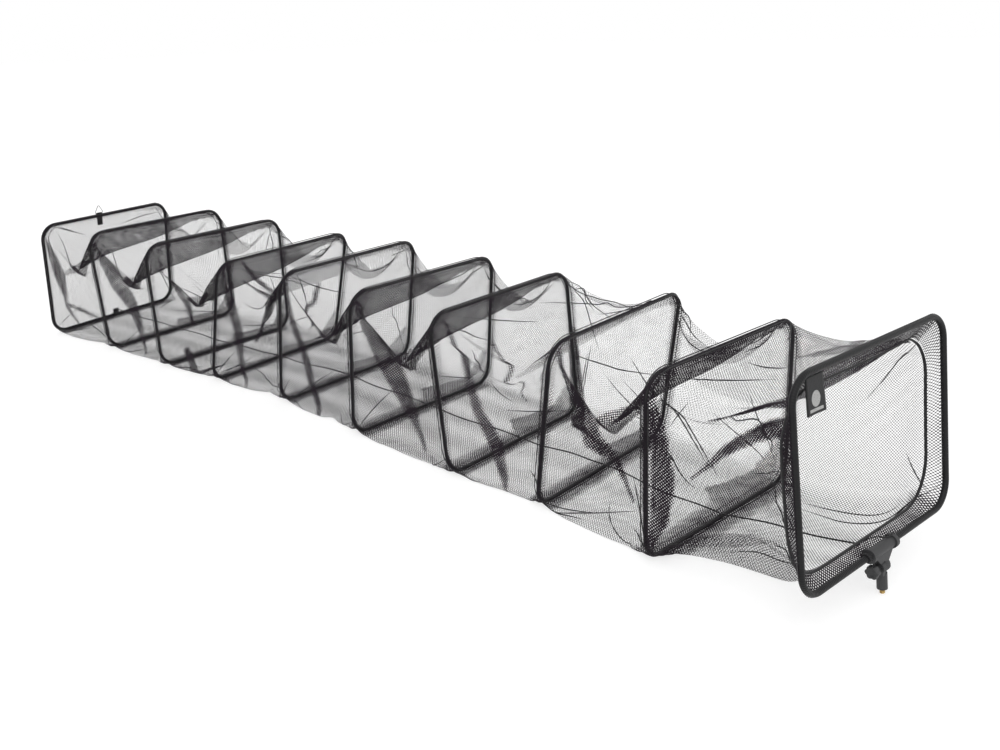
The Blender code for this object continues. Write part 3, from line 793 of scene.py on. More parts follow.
def drawHem(points):
    middle = sum(hemRows) / 2
    width = hoopFit["width"] - 2 * hemShape["sides"]
    height = hoopFit["height"] - hemShape["foot"] - hemShape["top"]
    outline = outlinePoints(width, height, hemShape["corner"], points.shape[1])[0]
    target = np.array([(across, up + hemShape["foot"]) for across, up in outline])
    world = np.array(hoopFrames[0])
    now = (points[hemRows[0]] + points[hemRows[1]]) / 2
    local = (now - world[:3, 3]) @ world[:3, :3]
    move = np.zeros_like(local)
    move[:, 1:] = target - local[:, 1:]
    move = move @ world[:3, :3].T
    for row in range(1, points.shape[0]):
        share = row / middle if row < middle else math.exp(-(((row - middle) / hemShape["spread"]) ** 2))
        points[row] += move * min(share, 1.0)


netGrid, bayCuts = settledNetting()
drawHem(netGrid[0])
netGrid[..., 2] = np.maximum(netGrid[..., 2], netCut["lowest"])
print("netting settled")


def gridMesh(name, grid, cutAcross, cutAlong, material, closed=True, bunched=None):
    # a skin over rows x places, with a UV map in metres of the flat cut
    rows, count = grid.shape[:2]
    around = np.arange(count if closed else count - 1)
    after = (around + 1) % count
    base = (np.arange(rows - 1) * count)[:, None]
    corners = [base + around, base + after, base + count + after, base + count + around]
    faces = np.stack(corners, -1).reshape(-1, 4)
    mesh = bpy.data.meshes.new(name)
    mesh.from_pydata(grid.reshape(-1, 3).tolist(), [], faces.tolist())
    u0 = np.broadcast_to(around * cutAcross, (rows - 1, len(around)))
    v0 = np.broadcast_to((np.arange(rows - 1) * cutAlong)[:, None], u0.shape)
    corners = [(u0, v0), (u0 + cutAcross, v0), (u0 + cutAcross, v0 + cutAlong), (u0, v0 + cutAlong)]
    flat = np.stack([np.stack(corner, -1) for corner in corners], 2).reshape(-1)
    mesh.uv_layers.new(name="metres").data.foreach_set("uv", flat.astype(np.float32))
    if bunched is not None:
        closing = mesh.attributes.new("bunched", "FLOAT", "POINT")
        closing.data.foreach_set("value", bunched.astype(np.float32).ravel())
    mesh.shade_smooth()
    mesh.materials.append(material)
    return mesh


def sheetPiece(mesh, thickness, slot, node, **cut):
    # a sheet as a real skin of both faces
    piece = linkNew(mesh)
    step = piece.modifiers.new("skin", "SOLIDIFY")
    step.thickness = thickness
    step.offset = 0.0
    bpy.context.view_layer.update()
    skin = bpy.data.meshes.new_from_object(piece.evaluated_get(bpy.context.evaluated_depsgraph_get()))
    skin.name = piece.name
    piece.modifiers.clear()
    piece.data = skin
    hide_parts(node)
    return piece


def netPiece(name, grid, cutLength, node, bunched):
    rows, count = grid.shape[:2]
    mesh = gridMesh(name, grid, perimeter / count, cutLength / (rows - 1), netting, bunched=bunched)
    cut = {"flat": (perimeter, cutLength), "held": "stretched", "rests_on": [node]}
    return sheetPiece(mesh, netCut["thickness"], "netting", node, **cut)


# where the netting hangs bunched, so that its cells close: outlines as (share round, share along) points
nearWedge = [
    (0.36, 0.0), (0.356, 0.054), (0.42, 0.11), (0.489, 0.19), (0.56, 0.26), (0.62, 0.34), (0.67, 0.48),
    (0.725, 0.68), (0.70, 0.36), (0.672, 0.0),
]
farWedge = nearWedge[:7] + [(0.73, 0.84), (0.705, 0.46), (0.672, 0.0)]
mouthFold = [
    (0.36, 0.0), (0.364, 0.10), (0.43, 0.10), (0.485, 0.107), (0.511, 0.143), (0.53, 0.179),
    (0.542, 0.232), (0.58, 0.268), (0.62, 0.20), (0.64, 0.0),
]
topFold = [(0.376, 0.42), (0.424, 0.43), (0.462, 0.66), (0.432, 0.60), (0.38, 0.50)]
cornerFold = [(0.0, 0.0), (0.02, 0.12), (0.05, 0.30), (0.09, 0.24), (0.15, 0.22), (0.19, 0.08), (0.19, 0.0)]
# and bands along a line: (share round, share along, half width)
wallBands = {
    1: [
        [
            (0.645, 0.98, 0.003), (0.69, 0.93, 0.014), (0.75, 0.89, 0.022), (0.80, 0.91, 0.018),
            (0.845, 0.97, 0.004),
        ],
        [(0.640, 0.0, 0.017), (0.635, 0.20, 0.017), (0.636, 0.38, 0.013), (0.647, 0.57, 0.002)],
        [
            (0.660, 0.0, 0.020), (0.667, 0.071, 0.022), (0.674, 0.196, 0.020), (0.682, 0.321, 0.016),
            (0.693, 0.446, 0.012), (0.712, 0.589, 0.007), (0.742, 0.732, 0.001),
        ],
    ],
    2: [
        [
            (0.636, 0.97, 0.003), (0.665, 0.85, 0.010), (0.693, 0.75, 0.015), (0.742, 0.643, 0.018),
            (0.754, 0.48, 0.008), (0.80, 0.25, 0.002),
        ],
    ],
    3: [
        [
            (0.632, 0.95, 0.004), (0.66, 0.80, 0.005), (0.72, 0.77, 0.007), (0.76, 0.70, 0.010),
            (0.80, 0.54, 0.015), (0.84, 0.44, 0.010), (0.86, 0.39, 0.002),
        ],
        [
            (0.27, 0.985, 0.008), (0.19, 0.97, 0.014), (0.14, 0.95, 0.022), (0.10, 0.78, 0.016),
            (0.08, 0.55, 0.004), (0.05, 0.2, 0.002),
        ],
        [(0.60, 0.68, 0.002), (0.64, 0.43, 0.003), (0.72, 0.25, 0.001)],
    ],
    4: [
        [
            (0.645, 0.95, 0.008), (0.68, 0.83, 0.022), (0.72, 0.72, 0.026), (0.76, 0.60, 0.021),
            (0.80, 0.46, 0.011), (0.84, 0.32, 0.002),
        ],
        [(0.27, 0.03, 0.006), (0.20, 0.03, 0.010), (0.15, 0.04, 0.012)],
    ],
    5: [
        [
            (0.67, 0.93, 0.006), (0.72, 0.86, 0.009), (0.75, 0.79, 0.010), (0.80, 0.68, 0.012),
            (0.85, 0.55, 0.008),
        ],
        [(0.60, 0.82, 0.003), (0.633, 0.70, 0.006), (0.68, 0.68, 0.005), (0.71, 0.73, 0.001)],
    ],
    6: [
        [
            (0.633, 0.99, 0.005), (0.69, 0.86, 0.012), (0.755, 0.75, 0.013), (0.80, 0.69, 0.010),
            (0.85, 0.60, 0.004),
        ],
        [(0.645, 0.03, 0.016), (0.638, 0.35, 0.013), (0.633, 0.75, 0.003)],
        [(0.645, 0.03, 0.012), (0.62, 0.45, 0.009), (0.602, 0.95, 0.006)],
        [(0.660, 0.05, 0.014), (0.670, 0.27, 0.014), (0.72, 0.50, 0.010), (0.76, 0.56, 0.004)],
    ],
    7: [
        [(0.65, 0.88, 0.004), (0.69, 0.77, 0.007), (0.723, 0.68, 0.009), (0.765, 0.58, 0.004)],
        [(0.82, 0.60, 0.012), (0.86, 0.45, 0.018), (0.92, 0.38, 0.006)],
    ],
    8: [
        [
            (0.652, 0.946, 0.008), (0.685, 0.86, 0.020), (0.724, 0.77, 0.024), (0.76, 0.635, 0.018),
            (0.80, 0.52, 0.011), (0.85, 0.40, 0.002),
        ],
    ],
    9: [
        [(0.66, 0.95, 0.004), (0.695, 0.89, 0.014), (0.73, 0.84, 0.020), (0.775, 0.785, 0.006)],
        [(0.78, 0.786, 0.005), (0.795, 0.768, 0.005), (0.822, 0.643, 0.002)],
        [(0.788, 0.768, 0.005), (0.795, 0.571, 0.005), (0.807, 0.339, 0.003)],
    ],
}
# how closely it is bunched there, in lists with one value for each bay
bunching = {
    "bands": 1.6,
    "bandEdge": 0.004,
    "wedges": [1, 0.95, 0, 1.0, 1.0, 0, 1.05, 1.0, 1.0],
    "farWedgeFrom": 8,
    "topFold": 0.6,
    "cornerFold": 0.8,
    "mouthBand": 0.30,
    "mouthWalls": [(0.63, 0.86, 0, 1.0), (0.37, 0.63, 4, 0.95)],
    "besideHoop": [0.65 * (1 - row / 5) for row in range(4)],
}
# the floor's folds: rows that they reach from the near and the far hoop, and patches between
floorFolds = {
    "halfWidth": 0.15,
    "edge": 0.02,
    "near": 10,
    "far": 7,
    "strength": 1.35,
    "patches": [0.224, 0.128, 0.16, 0.288, 0.384, 0.384, 0.384, 0.32, 0.224],
    "swell": (0.55, 0.45),
    "waves": 95,
}
# how much more open its cells stand in each bay where it is pulled tight, and on the mouth bay's near wall
thinner = [-0.04, 0.11, 0.12, 0.02, 0.02, 0.04, 0.08, 0.09, 0.07]
nearWall = {"around": (0.60, 0.90), "thinner": 0.10}


def insideOutline(outline, rows, count):
    # 1 inside and 0 outside
    around, along = np.meshgrid(np.arange(count) / count, np.linspace(0, 1, rows))
    inside = np.zeros((rows, count), bool)
    for first, second in zip(outline, outline[1:] + outline[:1]):
        spans = (first[1] > along) != (second[1] > along)
        rise = (second[1] - first[1]) or 1e-9
        inside ^= spans & (around < (second[0] - first[0]) * (along - first[1]) / rise + first[0])
    return inside.astype(float)


def bunchingFor(bay, rows, count, bayLength):
    # how far the cells close at each place of a bay: below 0 is more open than usual
    around = np.arange(count) / count
    fromFoot = np.abs((around + 0.5) % 1 - 0.5)
    foot = np.clip((floorFolds["halfWidth"] - fromFoot) / floorFolds["edge"], 0, 1)
    least, swell = floorFolds["swell"]
    patches = foot * (least + swell * np.sin(fromFoot * floorFolds["waves"] + bay * 2))
    field = np.tile(patches * floorFolds["patches"][bay - 1], (rows, 1))
    for points in wallBands[bay]:
        nearest, half = nearestOn(count, rows, bayLength, points)
        band = np.clip((half - nearest) / bunching["bandEdge"] + 0.5, 0, 1)
        field = np.maximum(field, band * bunching["bands"])
    wedge = farWedge if bay >= bunching["farWedgeFrom"] else nearWedge
    folds = [(wedge, bunching["wedges"][bay - 1]), (cornerFold, bunching["cornerFold"])]
    if bay == 1:
        folds = [(mouthFold, 1), (topFold, bunching["topFold"])]
    for outline, strength in folds:
        field = np.maximum(field, insideOutline(outline, rows, count) * strength)
    if bay == 1:
        field[:hemRows[1]] = np.maximum(field[:hemRows[1]], bunching["mouthBand"])
        for low, high, deeper, strength in bunching["mouthWalls"]:
            field[:hemRows[1] + deeper, (around > low) & (around < high)] = strength
    for fromHoop, reach in ((field, floorFolds["near"]), (field[::-1], floorFolds["far"])):
        for row, strength in enumerate(bunching["besideHoop"]):
            fromHoop[row] = np.maximum(fromHoop[row], strength)
        for row in range(reach):
            strength = foot * floorFolds["strength"] * (1 - (row / reach) ** 2)
            fromHoop[row] = np.maximum(fromHoop[row], strength)
    tight = np.full(count, -thinner[bay - 1])
    if bay == 1:
        low, high = (int(share * count) for share in nearWall["around"])
        tight[low:high] = -nearWall["thinner"]
    return np.where(field > 0, field, tight)


def joined(name, meshes):
    # several meshes in one
    shape = bmesh.new()
    for mesh in meshes:
        shape.from_mesh(mesh)
    whole = bpy.data.meshes.new(name)
    shape.to_mesh(whole)
    shape.free()
    whole.materials.append(meshes[0].materials[0])
    whole.shade_smooth()
    for mesh in meshes:
        bpy.data.meshes.remove(mesh)
    return whole


# the least reach that the joins below work out, beside a hoop and from bay to bay
leastBend = {"hoop": 0.002, "bay": 0.02}


def joinHoop(piece, hoop, seam):
    # works out how far the seam row stands off the hoop's plane; the piece itself only keeps its place in the
    # world
    world = hoopFrames[hoop]
    normal = np.array(world.to_3x3().col[0])
    foot = np.array(world.translation)
    away = (seam - foot) @ normal
    side = -1.0 if away.mean() < 0 else 1.0
    reach = max(leastBend["hoop"], float((away * side).min()))
    end = foot + normal * side * reach
    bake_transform(piece)


def joinBays(piece, bay, first, last):
    # works out where along the bay a piece's first row ends and its last row starts; the piece itself only
    # keeps its place in the world
    near = np.array(hoopFrames[bay - 1].translation)
    run = (np.array(hoopFrames[bay].translation) - near) * np.array([1, 1, 0])
    run /= np.linalg.norm(run)
    start = float(((first - near) @ run).max())
    end = max(float(((last - near) @ run).min()), start + leastBend["bay"])
    start, end = (tuple(near + run * reach) for reach in (start, end))
    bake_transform(piece)


# sharp folds: thin gathered ridges, the long ones as (share round, share along) and short ones at the corners
foldFit = {
    "perCorner": 3,
    "reach": (0.05, 0.22),
    "angle": (12, 78),
    "aside": 0.012,
    "bow": 0.006,
    "from": (0.02, 0.08),
    "within": (0.06, 0.94),
    "radius": 0.0013,
    "above": 0.0002,
    "ends": 0.12,
    "taper": 0.8,
    "stations": 9,
    "typicalBay": 0.34,
    "seed": 21,
    "corners": (0.148, 0.372, 0.628, 0.852),
}
longFolds = {
    1: [
        [(0.708, 0.946), (0.731, 0.821), (0.742, 0.786), (0.754, 0.714)],
        [(0.633, 0.518), (0.672, 0.30), (0.712, 0.089)],
        [(0.621, 0.929), (0.572, 0.786), (0.53, 0.571)],
        [(0.091, 0.732), (0.095, 0.589), (0.102, 0.429), (0.11, 0.25), (0.133, 0.06)],
        [(0.106, 0.768), (0.114, 0.625), (0.117, 0.375), (0.129, 0.214)],
        [(0.511, 0.804), (0.505, 0.68), (0.49, 0.60)],
    ],
    2: [[(0.635, 0.95), (0.60, 0.70), (0.55, 0.42)], [(0.86, 0.12), (0.88, 0.42), (0.93, 0.66)]],
    3: [[(0.462, 0.804), (0.386, 0.554), (0.36, 0.286), (0.371, 0.107)], [(0.386, 0.839), (0.311, 0.75)]],
    4: [[(0.64, 0.10), (0.70, 0.34), (0.735, 0.60)], [(0.39, 0.16), (0.34, 0.44), (0.29, 0.70)]],
    5: [[(0.64, 0.93), (0.69, 0.72), (0.74, 0.40)], [(0.37, 0.90), (0.32, 0.62)]],
    6: [[(0.64, 0.08), (0.67, 0.40), (0.69, 0.74)], [(0.84, 0.90), (0.79, 0.55)]],
    7: [[(0.64, 0.93), (0.70, 0.60), (0.72, 0.30)], [(0.38, 0.10), (0.33, 0.50)]],
    8: [[(0.64, 0.08), (0.68, 0.40), (0.74, 0.66)], [(0.86, 0.86), (0.80, 0.50)]],
    9: [[(0.63, 0.90), (0.66, 0.60), (0.71, 0.28)], [(0.37, 0.88), (0.31, 0.55)]],
}


def onGrid(grid, around, along):
    # the netting's place at a share round and a share along
    rows, count = grid.shape[:2]
    spot = (around % 1.0) * count
    row = min(max(along, 0.0), 1.0) * (rows - 1)
    left, low = int(spot) % count, min(int(row), rows - 2)
    across, up = spot - int(spot), row - low
    right = (left + 1) % count
    near = grid[low, left] * (1 - across) + grid[low, right] * across
    far = grid[low + 1, left] * (1 - across) + grid[low + 1, right] * across
    return near * (1 - up) + far * up


def foldLines(bay, bayLength):
    # where the folds of one bay run, as lists of (share round, share along)
    random = np.random.RandomState(foldFit["seed"] + bay)
    lines = list(longFolds[bay])
    for corner in foldFit["corners"]:
        for end in (0.0, 1.0):
            for turn in range(random.randint(1, foldFit["perCorner"] + 1)):
                reach = random.uniform(*foldFit["reach"])
                angle = math.radians(random.uniform(*foldFit["angle"])) * random.choice((-1, 1))
                across = corner + random.uniform(-foldFit["aside"], foldFit["aside"])
                along = abs(end - random.uniform(*foldFit["from"]))
                step = reach * math.cos(angle) / bayLength * (1 if end == 0 else -1)
                farAcross = across + reach * math.sin(angle) / perimeter
                farAlong = float(np.clip(along + step, *foldFit["within"]))
                bow = random.uniform(-foldFit["bow"], foldFit["bow"])
                middle = (across * 0.5 + farAcross * 0.5 + bow, along * 0.5 + farAlong * 0.5)
                lines.append([(across, along), middle, (farAcross, farAlong)])
    return lines


def ridgeMesh(name, grid, line):
    # a ridge on a smooth curve through the line's points, thin at both ends
    line = np.array(line)
    reach = reachAlong(line * (perimeter, foldFit["typicalBay"]))
    bend = len(line) - 1 if len(line) < 4 else 3
    around, along = (np.polyfit(reach, line[:, axis], bend) for axis in (0, 1))
    spots = np.linspace(0, reach[-1], foldFit["stations"] * len(line))
    points = np.array([onGrid(grid, np.polyval(around, spot), np.polyval(along, spot)) for spot in spots])
    points[:, 2] = np.maximum(points[:, 2], foldFit["radius"] + foldFit["above"])
    swell = np.sin(np.linspace(foldFit["ends"], math.pi - foldFit["ends"], len(points)))
    return tubeMesh(name, points, foldFit["radius"] * swell ** foldFit["taper"], cordBlack, sides=6)


collarRows = 4


def buildBay(bay):
    grid, length = netGrid[bay - 1], bayCuts[bay - 1]
    rows, count = grid.shape[:2]
    bunched = bunchingFor(bay, rows, count, length)

    def strip(name, first, last, node=f"net_bay_{bay}"):
        # the netting from one row of the bay to another
        cut = length / (rows - 1) * (last - first)
        return netPiece(name, grid[first:last + 1], cut, node, bunched[first:last + 1])

    if bay == 1:
        nearTo = hemRows[1]
        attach(strip("mouthBand", 0, hemRows[0], "mouth_band"), "mouth")
    else:
        nearTo = collarRows
        joinHoop(strip(f"netCollar{bay}a", 0, nearTo), bay - 1, grid[nearTo])
    farFrom = rows - 1 - collarRows
    middle = strip(f"netBay{bay}", nearTo, farFrom)
    ridges = [ridgeMesh(f"fold{bay}", grid, line) for line in foldLines(bay, length)]
    folds = linkNew(joined(f"netFolds{bay}", ridges))
    for piece in (folds, middle):
        joinBays(piece, bay, grid[nearTo], grid[farFrom])
    joinHoop(strip(f"netCollar{bay}b", farFrom, rows - 1), bay, grid[farFrom])


for bay in range(1, lastHoop + 1):
    buildBay(bay)
print("netting built")

# hoops: the tubes with their black cover, and the sewn seam lines beside them
tubeFit = {"stations": 320, "sides": 16}
seamFit = {
    "stations": 240,
    "back": 0.0085,
    "corner": 0.014,
    "radius": 0.0011,
    "sunk": 0.0006,
    "clear": 0.0006,
}


def buildHoops():
    for index, node in enumerate(hoopNodes):
        line = hoopLine(index, tubeFit["stations"])
        tube = hoopFit["tubes"][index]
        mesh = tubeMesh(f"{node}Tube", line, tube, hoopCover, tubeFit["sides"], closed=True)
        placed(mesh, hoopBodies[index], "hoop_tube", node)


def seamBeside(name, index, side):
    # a thin sewn line round the netting, close to a hoop
    grow = hoopFit["tubes"][index] - seamFit["sunk"]
    line = hoopLine(index, seamFit["stations"], grow, seamFit["corner"], side * seamFit["back"])
    line = [(x, y, max(z, seamFit["radius"] + seamFit["clear"])) for x, y, z in line]
    mesh = tubeMesh(name, line, seamFit["radius"], cordBlack, sides=6, closed=True)
    placed(mesh, hoopBodies[index], "cord")


buildHoops()
for index in range(1, lastHoop + 1):
    seamBeside(f"seam{index}a", index, 1)
    if index < lastHoop:
        seamBeside(f"seam{index}b", index, -1)
print("hoops built")

# the hem that the mouth band is sewn to, a flattened black cord
hemFit = {"radius": 0.0031, "flat": 0.7, "clear": 0.001}


def buildHem():
    radius = hemFit["radius"]
    line = netGrid[0][hemRows[0]] * 0.5 + netGrid[0][hemRows[1]] * 0.5
    line[:, 2] = np.maximum(line[:, 2], radius + hemFit["clear"])
    mesh = tubeMesh("hemCord", line, radius, cordBlack, closed=True, flat=hemFit["flat"])
    placed(mesh, "mouth", "cord", "mouth_hem")


buildHem()

# the draw cord along the foot of the netting, from the knot on the hem to the tail's tab
cordFit = {
    "radius": 0.0017,
    "above": 0.0003,
    "wander": 0.006,
    "phases": 6.28,
    "sag": 0.0026,
    "tabRise": 0.0202,
    "tailGap": 0.0018,
    "stations": 41,
    "seed": 3,
}
knotFit = {"size": 0.0036, "reach": 3.4, "height": 1.25, "stations": 96}


def cordSpot(index):
    # where the draw cord passes each hoop
    if index == 0:
        return boxMiddle("mouth_knot")
    if index == 3:
        return boxMiddle("cord_hitch_3")
    rise = hoopFit["tubes"][index] + cordFit["radius"] + cordFit["above"]
    if index == lastHoop:
        rise = cordFit["tabRise"]
    return Vector(hoopFrames[index].translation) + Vector((0, 0, rise))


def buildCords():
    random = np.random.RandomState(cordFit["seed"])
    for index in range(1, lastHoop + 1):
        start, end = cordSpot(index - 1), cordSpot(index)
        run = (end - start).normalized()
        if index == lastHoop:
            end = end - run * (hoopFit["tubes"][-1] + cordFit["tailGap"])
        beside = run.cross(Vector((0, 0, 1))).normalized()
        phase = random.rand() * cordFit["phases"]
        sway = cordFit["wander"] * (0.5 + random.rand())
        points = []
        for share in np.linspace(0, 1, cordFit["stations"]):
            arch = math.sin(math.pi * share)
            spot = start.lerp(end, share)
            if index > 1:
                ease = share * share * (3 - 2 * share)
                spot.z = start.z + (end.z - start.z) * ease - cordFit["sag"] * arch**2
            spot += beside * sway * arch * math.sin(2 * math.pi * share + phase)
            points.append(tuple(spot))
        piece = cordPiece(f"drawCord{index}", points, cordFit["radius"], "taut", f"base_cord_{index}")
        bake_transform(piece)


def knotLine(centre, across, ahead):
    # a small overhand knot: the trefoil's own curve, pulled small
    points = []
    up = across.cross(ahead)
    for spot in range(knotFit["stations"]):
        angle = 2 * math.pi * spot / knotFit["stations"]
        reach = 2 + math.cos(3 * angle)
        place = across * reach * math.cos(2 * angle) + ahead * reach * math.sin(2 * angle)
        place += up * math.sin(3 * angle) * knotFit["height"]
        points.append(tuple(centre + place * knotFit["size"] / knotFit["reach"]))
    return points


def buildKnots():
    for name, node, index in (("mouthKnot", "mouth_knot", 0), ("hoopHitch", "cord_hitch_3", 3)):
        centre = boxMiddle(node)
        ahead = (cordSpot(index + 1) - centre).normalized()
        across = ahead.cross(Vector((0, 0, 1))).normalized()
        line = knotLine(centre, across, ahead)
        mesh = tubeMesh(name, line, cordFit["radius"], cordBlack, closed=True)
        placed(mesh, bayBodies[index], "cord", node)


buildCords()
buildKnots()
print("cords built")

# ties round the mouth tube on both sides of the tee
tieFit = {"radius": 0.0012, "turns": 3.2, "perTurn": 20, "place": 0.0465, "clear": 0.0003}


def buildTies():
    radius, turns = tieFit["radius"], tieFit["turns"]
    reach = hoopFit["tubes"][0] + tieFit["clear"] + radius
    for name, side in (("left", -1), ("right", 1)):
        points = []
        for share in np.linspace(0, 1, int(turns * tieFit["perTurn"])):
            angle = 2 * math.pi * turns * share
            along = side * tieFit["place"] + (share - 0.5) * turns * 2 * radius
            local = Vector((reach * math.cos(angle), along, reach * math.sin(angle)))
            points.append(tuple(hoopFrames[0] @ local))
        placed(tubeMesh(f"{name}Tie", points, radius, cordBlack, sides=8), "mouth", "cord", f"{name}_tie")


buildTies()

# the flat net that closes the tail
endFit = {"inset": 0.0062, "behind": 0.0022, "belly": 0.002, "around": 168, "rings": 22, "innermost": 0.02}


def buildEndNet():
    inset = endFit["inset"]
    width, height = hoopFit["width"] - 2 * inset, hoopFit["height"] - 2 * inset
    corner = hoopFit["corner"] - inset
    edge = np.array(outlinePoints(width, height, corner, endFit["around"])[0])
    middle = np.array([0.0, height / 2])
    share = np.maximum(np.linspace(0, 1, endFit["rings"] + 1), endFit["innermost"])[:, None]
    grid = np.zeros((len(share), len(edge), 3))
    grid[..., 0] = -endFit["behind"] - endFit["belly"] * (1 - share**2)
    grid[..., 1:] = middle + (edge - middle) * share[..., None]
    tail = np.array(hoopFrames[-1])
    world = (grid + np.array([0, 0, inset])) @ tail[:3, :3].T + tail[:3, 3]
    mesh = gridMesh("tailNet", world, 1.0, 1.0, netting)
    loops = np.zeros(len(mesh.loops), np.int32)
    mesh.loops.foreach_get("vertex_index", loops)
    flat = grid[..., 1:].reshape(-1, 2)[loops]
    mesh.uv_layers["metres"].data.foreach_set("uv", flat.astype(np.float32).ravel())
    cut = {"flat": (width, height), "held": "stretched", "rests_on": ["tail_hoop"]}
    area = width * height - (4 - math.pi) * corner**2
    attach(sheetPiece(mesh, netCut["thickness"], "netting", "tail_net", area=area, **cut), "tail")


buildEndNet()
print("tail net built")


# how far a strap's rounded edges reach in and up, in half thicknesses
edgeShares = (0.3, 0.6)


def strapMesh(name, line, across, width, thickness):
    # flat webbing that follows a line, with a UV map in metres
    across = np.asarray(across, float)
    ahead = np.gradient(line, axis=0)
    ahead /= np.linalg.norm(ahead, axis=1, keepdims=True)
    half, edge = width / 2, thickness / 2
    inward, rise = (edge * share for share in edgeShares)
    profile = [(-half + edge, -edge), (half - edge, -edge), (half - inward, -rise), (half, 0.0)]
    profile += [(half - inward, rise), (half - edge, edge), (-half + edge, edge)]
    profile += [(-half + inward, rise), (-half, 0.0), (-half + inward, -rise)]
    vertices = []
    for spot, normal in zip(line, np.cross(across, ahead)):
        vertices += [tuple(spot + across * side + normal * up) for side, up in profile]
    reach = reachAlong(line)
    sides = [side for side, up in profile]
    uvs = []
    for near, far in zip(reach, reach[1:]):
        for left, right in zip(sides, sides[1:] + sides[:1]):
            uvs += [(left, near), (right, near), (right, far), (left, far)]
    uvs += [(side, reach[0] + up) for side, up in profile[::-1]]
    uvs += [(side, reach[-1] + up) for side, up in profile]
    return finishedMesh(name, vertices, ringFaces(len(line), len(profile)), webbingBlack, uvs)


def arcPoints(centre, radius, first, last, steps):
    # points (ahead, up) round a centre, angles in degrees from straight up towards the back
    angles = np.radians(np.linspace(first, last, steps))
    return [(centre[0] - radius * math.sin(angle), centre[1] + radius * math.cos(angle)) for angle in angles]


def evened(points, count):
    # the same line with evenly spaced points
    line = np.asarray(points, float)
    reach = reachAlong(line)
    spots = np.linspace(0, reach[-1], count)
    return np.stack([np.interp(spots, reach, line[:, axis]) for axis in range(line.shape[1])], 1)


# the folded label inside the mouth, bare but for a pale disc and a bar
labelFit = {
    "left": -0.205,
    "width": 0.048,
    "top": 0.3645,
    "drop": 0.0638,
    "skin": 0.0007,
    "apart": 0.0009,
    "turnAt": 0.985,
    "curl": 0.0011,
    "tilt": 0.0022,
    "drift": 0.002,
    "columns": 12,
    "rows": 24,
    "turnRows": 9,
}
# its print: the disc's height and radius, the bar's height and half sizes, and the share that is worn away
labelPrint = {
    "disc": (0.0305, 0.0115),
    "bar": (0.0150, 0.0175, 0.0022),
    "black": (0.012, 0.012, 0.013),
    "pale": (0.52, 0.52, 0.51),
    "patches": 700.0,
    "worn": 0.36,
    "weft": 0.0006,
    "relief": 0.0001,
}


def labelFinish():
    # black satin with a printed pale disc and bar
    look = labelPrint
    finish = Finish("labelCloth", look["black"], roughness=0.55, level=0.4)
    place, across, along = finish.metres()
    up = along - labelFit["drop"]
    height, radius = look["disc"]
    rise = up - height
    disc = (across * across + rise * rise).step("SQRT") < radius
    height, halfWide, halfHigh = look["bar"]
    bar = (abs(across) < halfWide) * (abs(up - height) < halfHigh)
    kept = finish.noise(place, look["patches"]) > look["worn"]
    finish.vary("Base Color", disc.step("MAXIMUM", bar) * kept, look["black"], look["pale"])
    finish.bump((along * (2 * math.pi / look["weft"])).sine(), look["relief"], strength=0.5)
    return finish.made


def buildLabel():
    fit = labelFit
    drop, apart, width, columns = fit["drop"], fit["apart"], fit["width"], fit["columns"]
    shares = np.linspace(0, fit["turnAt"], fit["rows"])
    line = [(-apart, fit["top"] - drop * share) for share in shares]
    line += arcPoints((0.0, fit["top"] - drop * fit["turnAt"]), apart, 90, 270, fit["turnRows"])[1:-1]
    line += [(apart, fit["top"] - drop * share) for share in shares[::-1]]
    grid = np.zeros((len(line), columns + 1, 3))
    for row, (ahead, up) in enumerate(line):
        hanging = (fit["top"] - up) / drop
        for column in range(columns + 1):
            side = column / columns - 0.5
            curl = fit["curl"] * hanging**2 * (4 * side * side) + fit["tilt"] * side * hanging
            across = fit["left"] + width * column / columns + fit["drift"] * hanging
            grid[row, column] = hoopFrames[0] @ Vector((ahead + curl, across, up))
    step = 2 * drop / (len(line) - 1)
    mesh = gridMesh("labelTab", grid, width / columns, step, labelFinish(), closed=False)
    layer = mesh.uv_layers["metres"].data
    flat = np.zeros(len(mesh.loops) * 2, np.float32)
    layer.foreach_get("uv", flat)
    flat[0::2] -= width / 2
    layer.foreach_set("uv", flat)
    cut = {"flat": (width, 2 * drop), "held": "folded", "rests_on": ["mouth_hoop"]}
    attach(sheetPiece(mesh, fit["skin"], "webbing", "label_tab", **cut), "mouth")


# webbing on the tail: the upper loop that holds the ring, and the lower tab that holds the draw cord
tabFit = {
    "skin": 0.0012,
    "clear": 0.0058,
    "ringClear": 0.0014,
    "topWidth": 0.020,
    "topTail": 0.026,
    "topAside": -0.027,
    "footWidth": 0.022,
    "footRise": 0.015,
    "wovenShare": 0.94,
    "legShare": 1.02,
    "foldShare": 0.6,
    "footWrap": (100, 6),
    "wrapPoints": 22,
    "ringPoints": 16,
    "footPoints": 20,
    "foldPoints": 9,
    "stations": {"topTab": 150, "footTab": 90},
}
stitchFit = {
    "step": 0.0026,
    "share": (0.2, 0.85),
    "radius": 0.00028,
    "proud": 0.0001,
    "clear": 0.002,
    "top": (0.0105, 0.0300),
    "foot": (0.0095, 0.0025),
}


def stitchRow(name, spot, across):
    # short stitches across a strap
    half, step = tabFit["topWidth"] / 2 - stitchFit["clear"], stitchFit["step"]
    meshes = []
    for turn in range(int(2 * half / step)):
        low, high = (spot + across * (-half + step * (turn + part)) for part in stitchFit["share"])
        points = [tuple(low), tuple((low + high) / 2), tuple(high)]
        meshes.append(tubeMesh(f"{name}{turn}", points, stitchFit["radius"], threadGrey, sides=6))
    return meshes


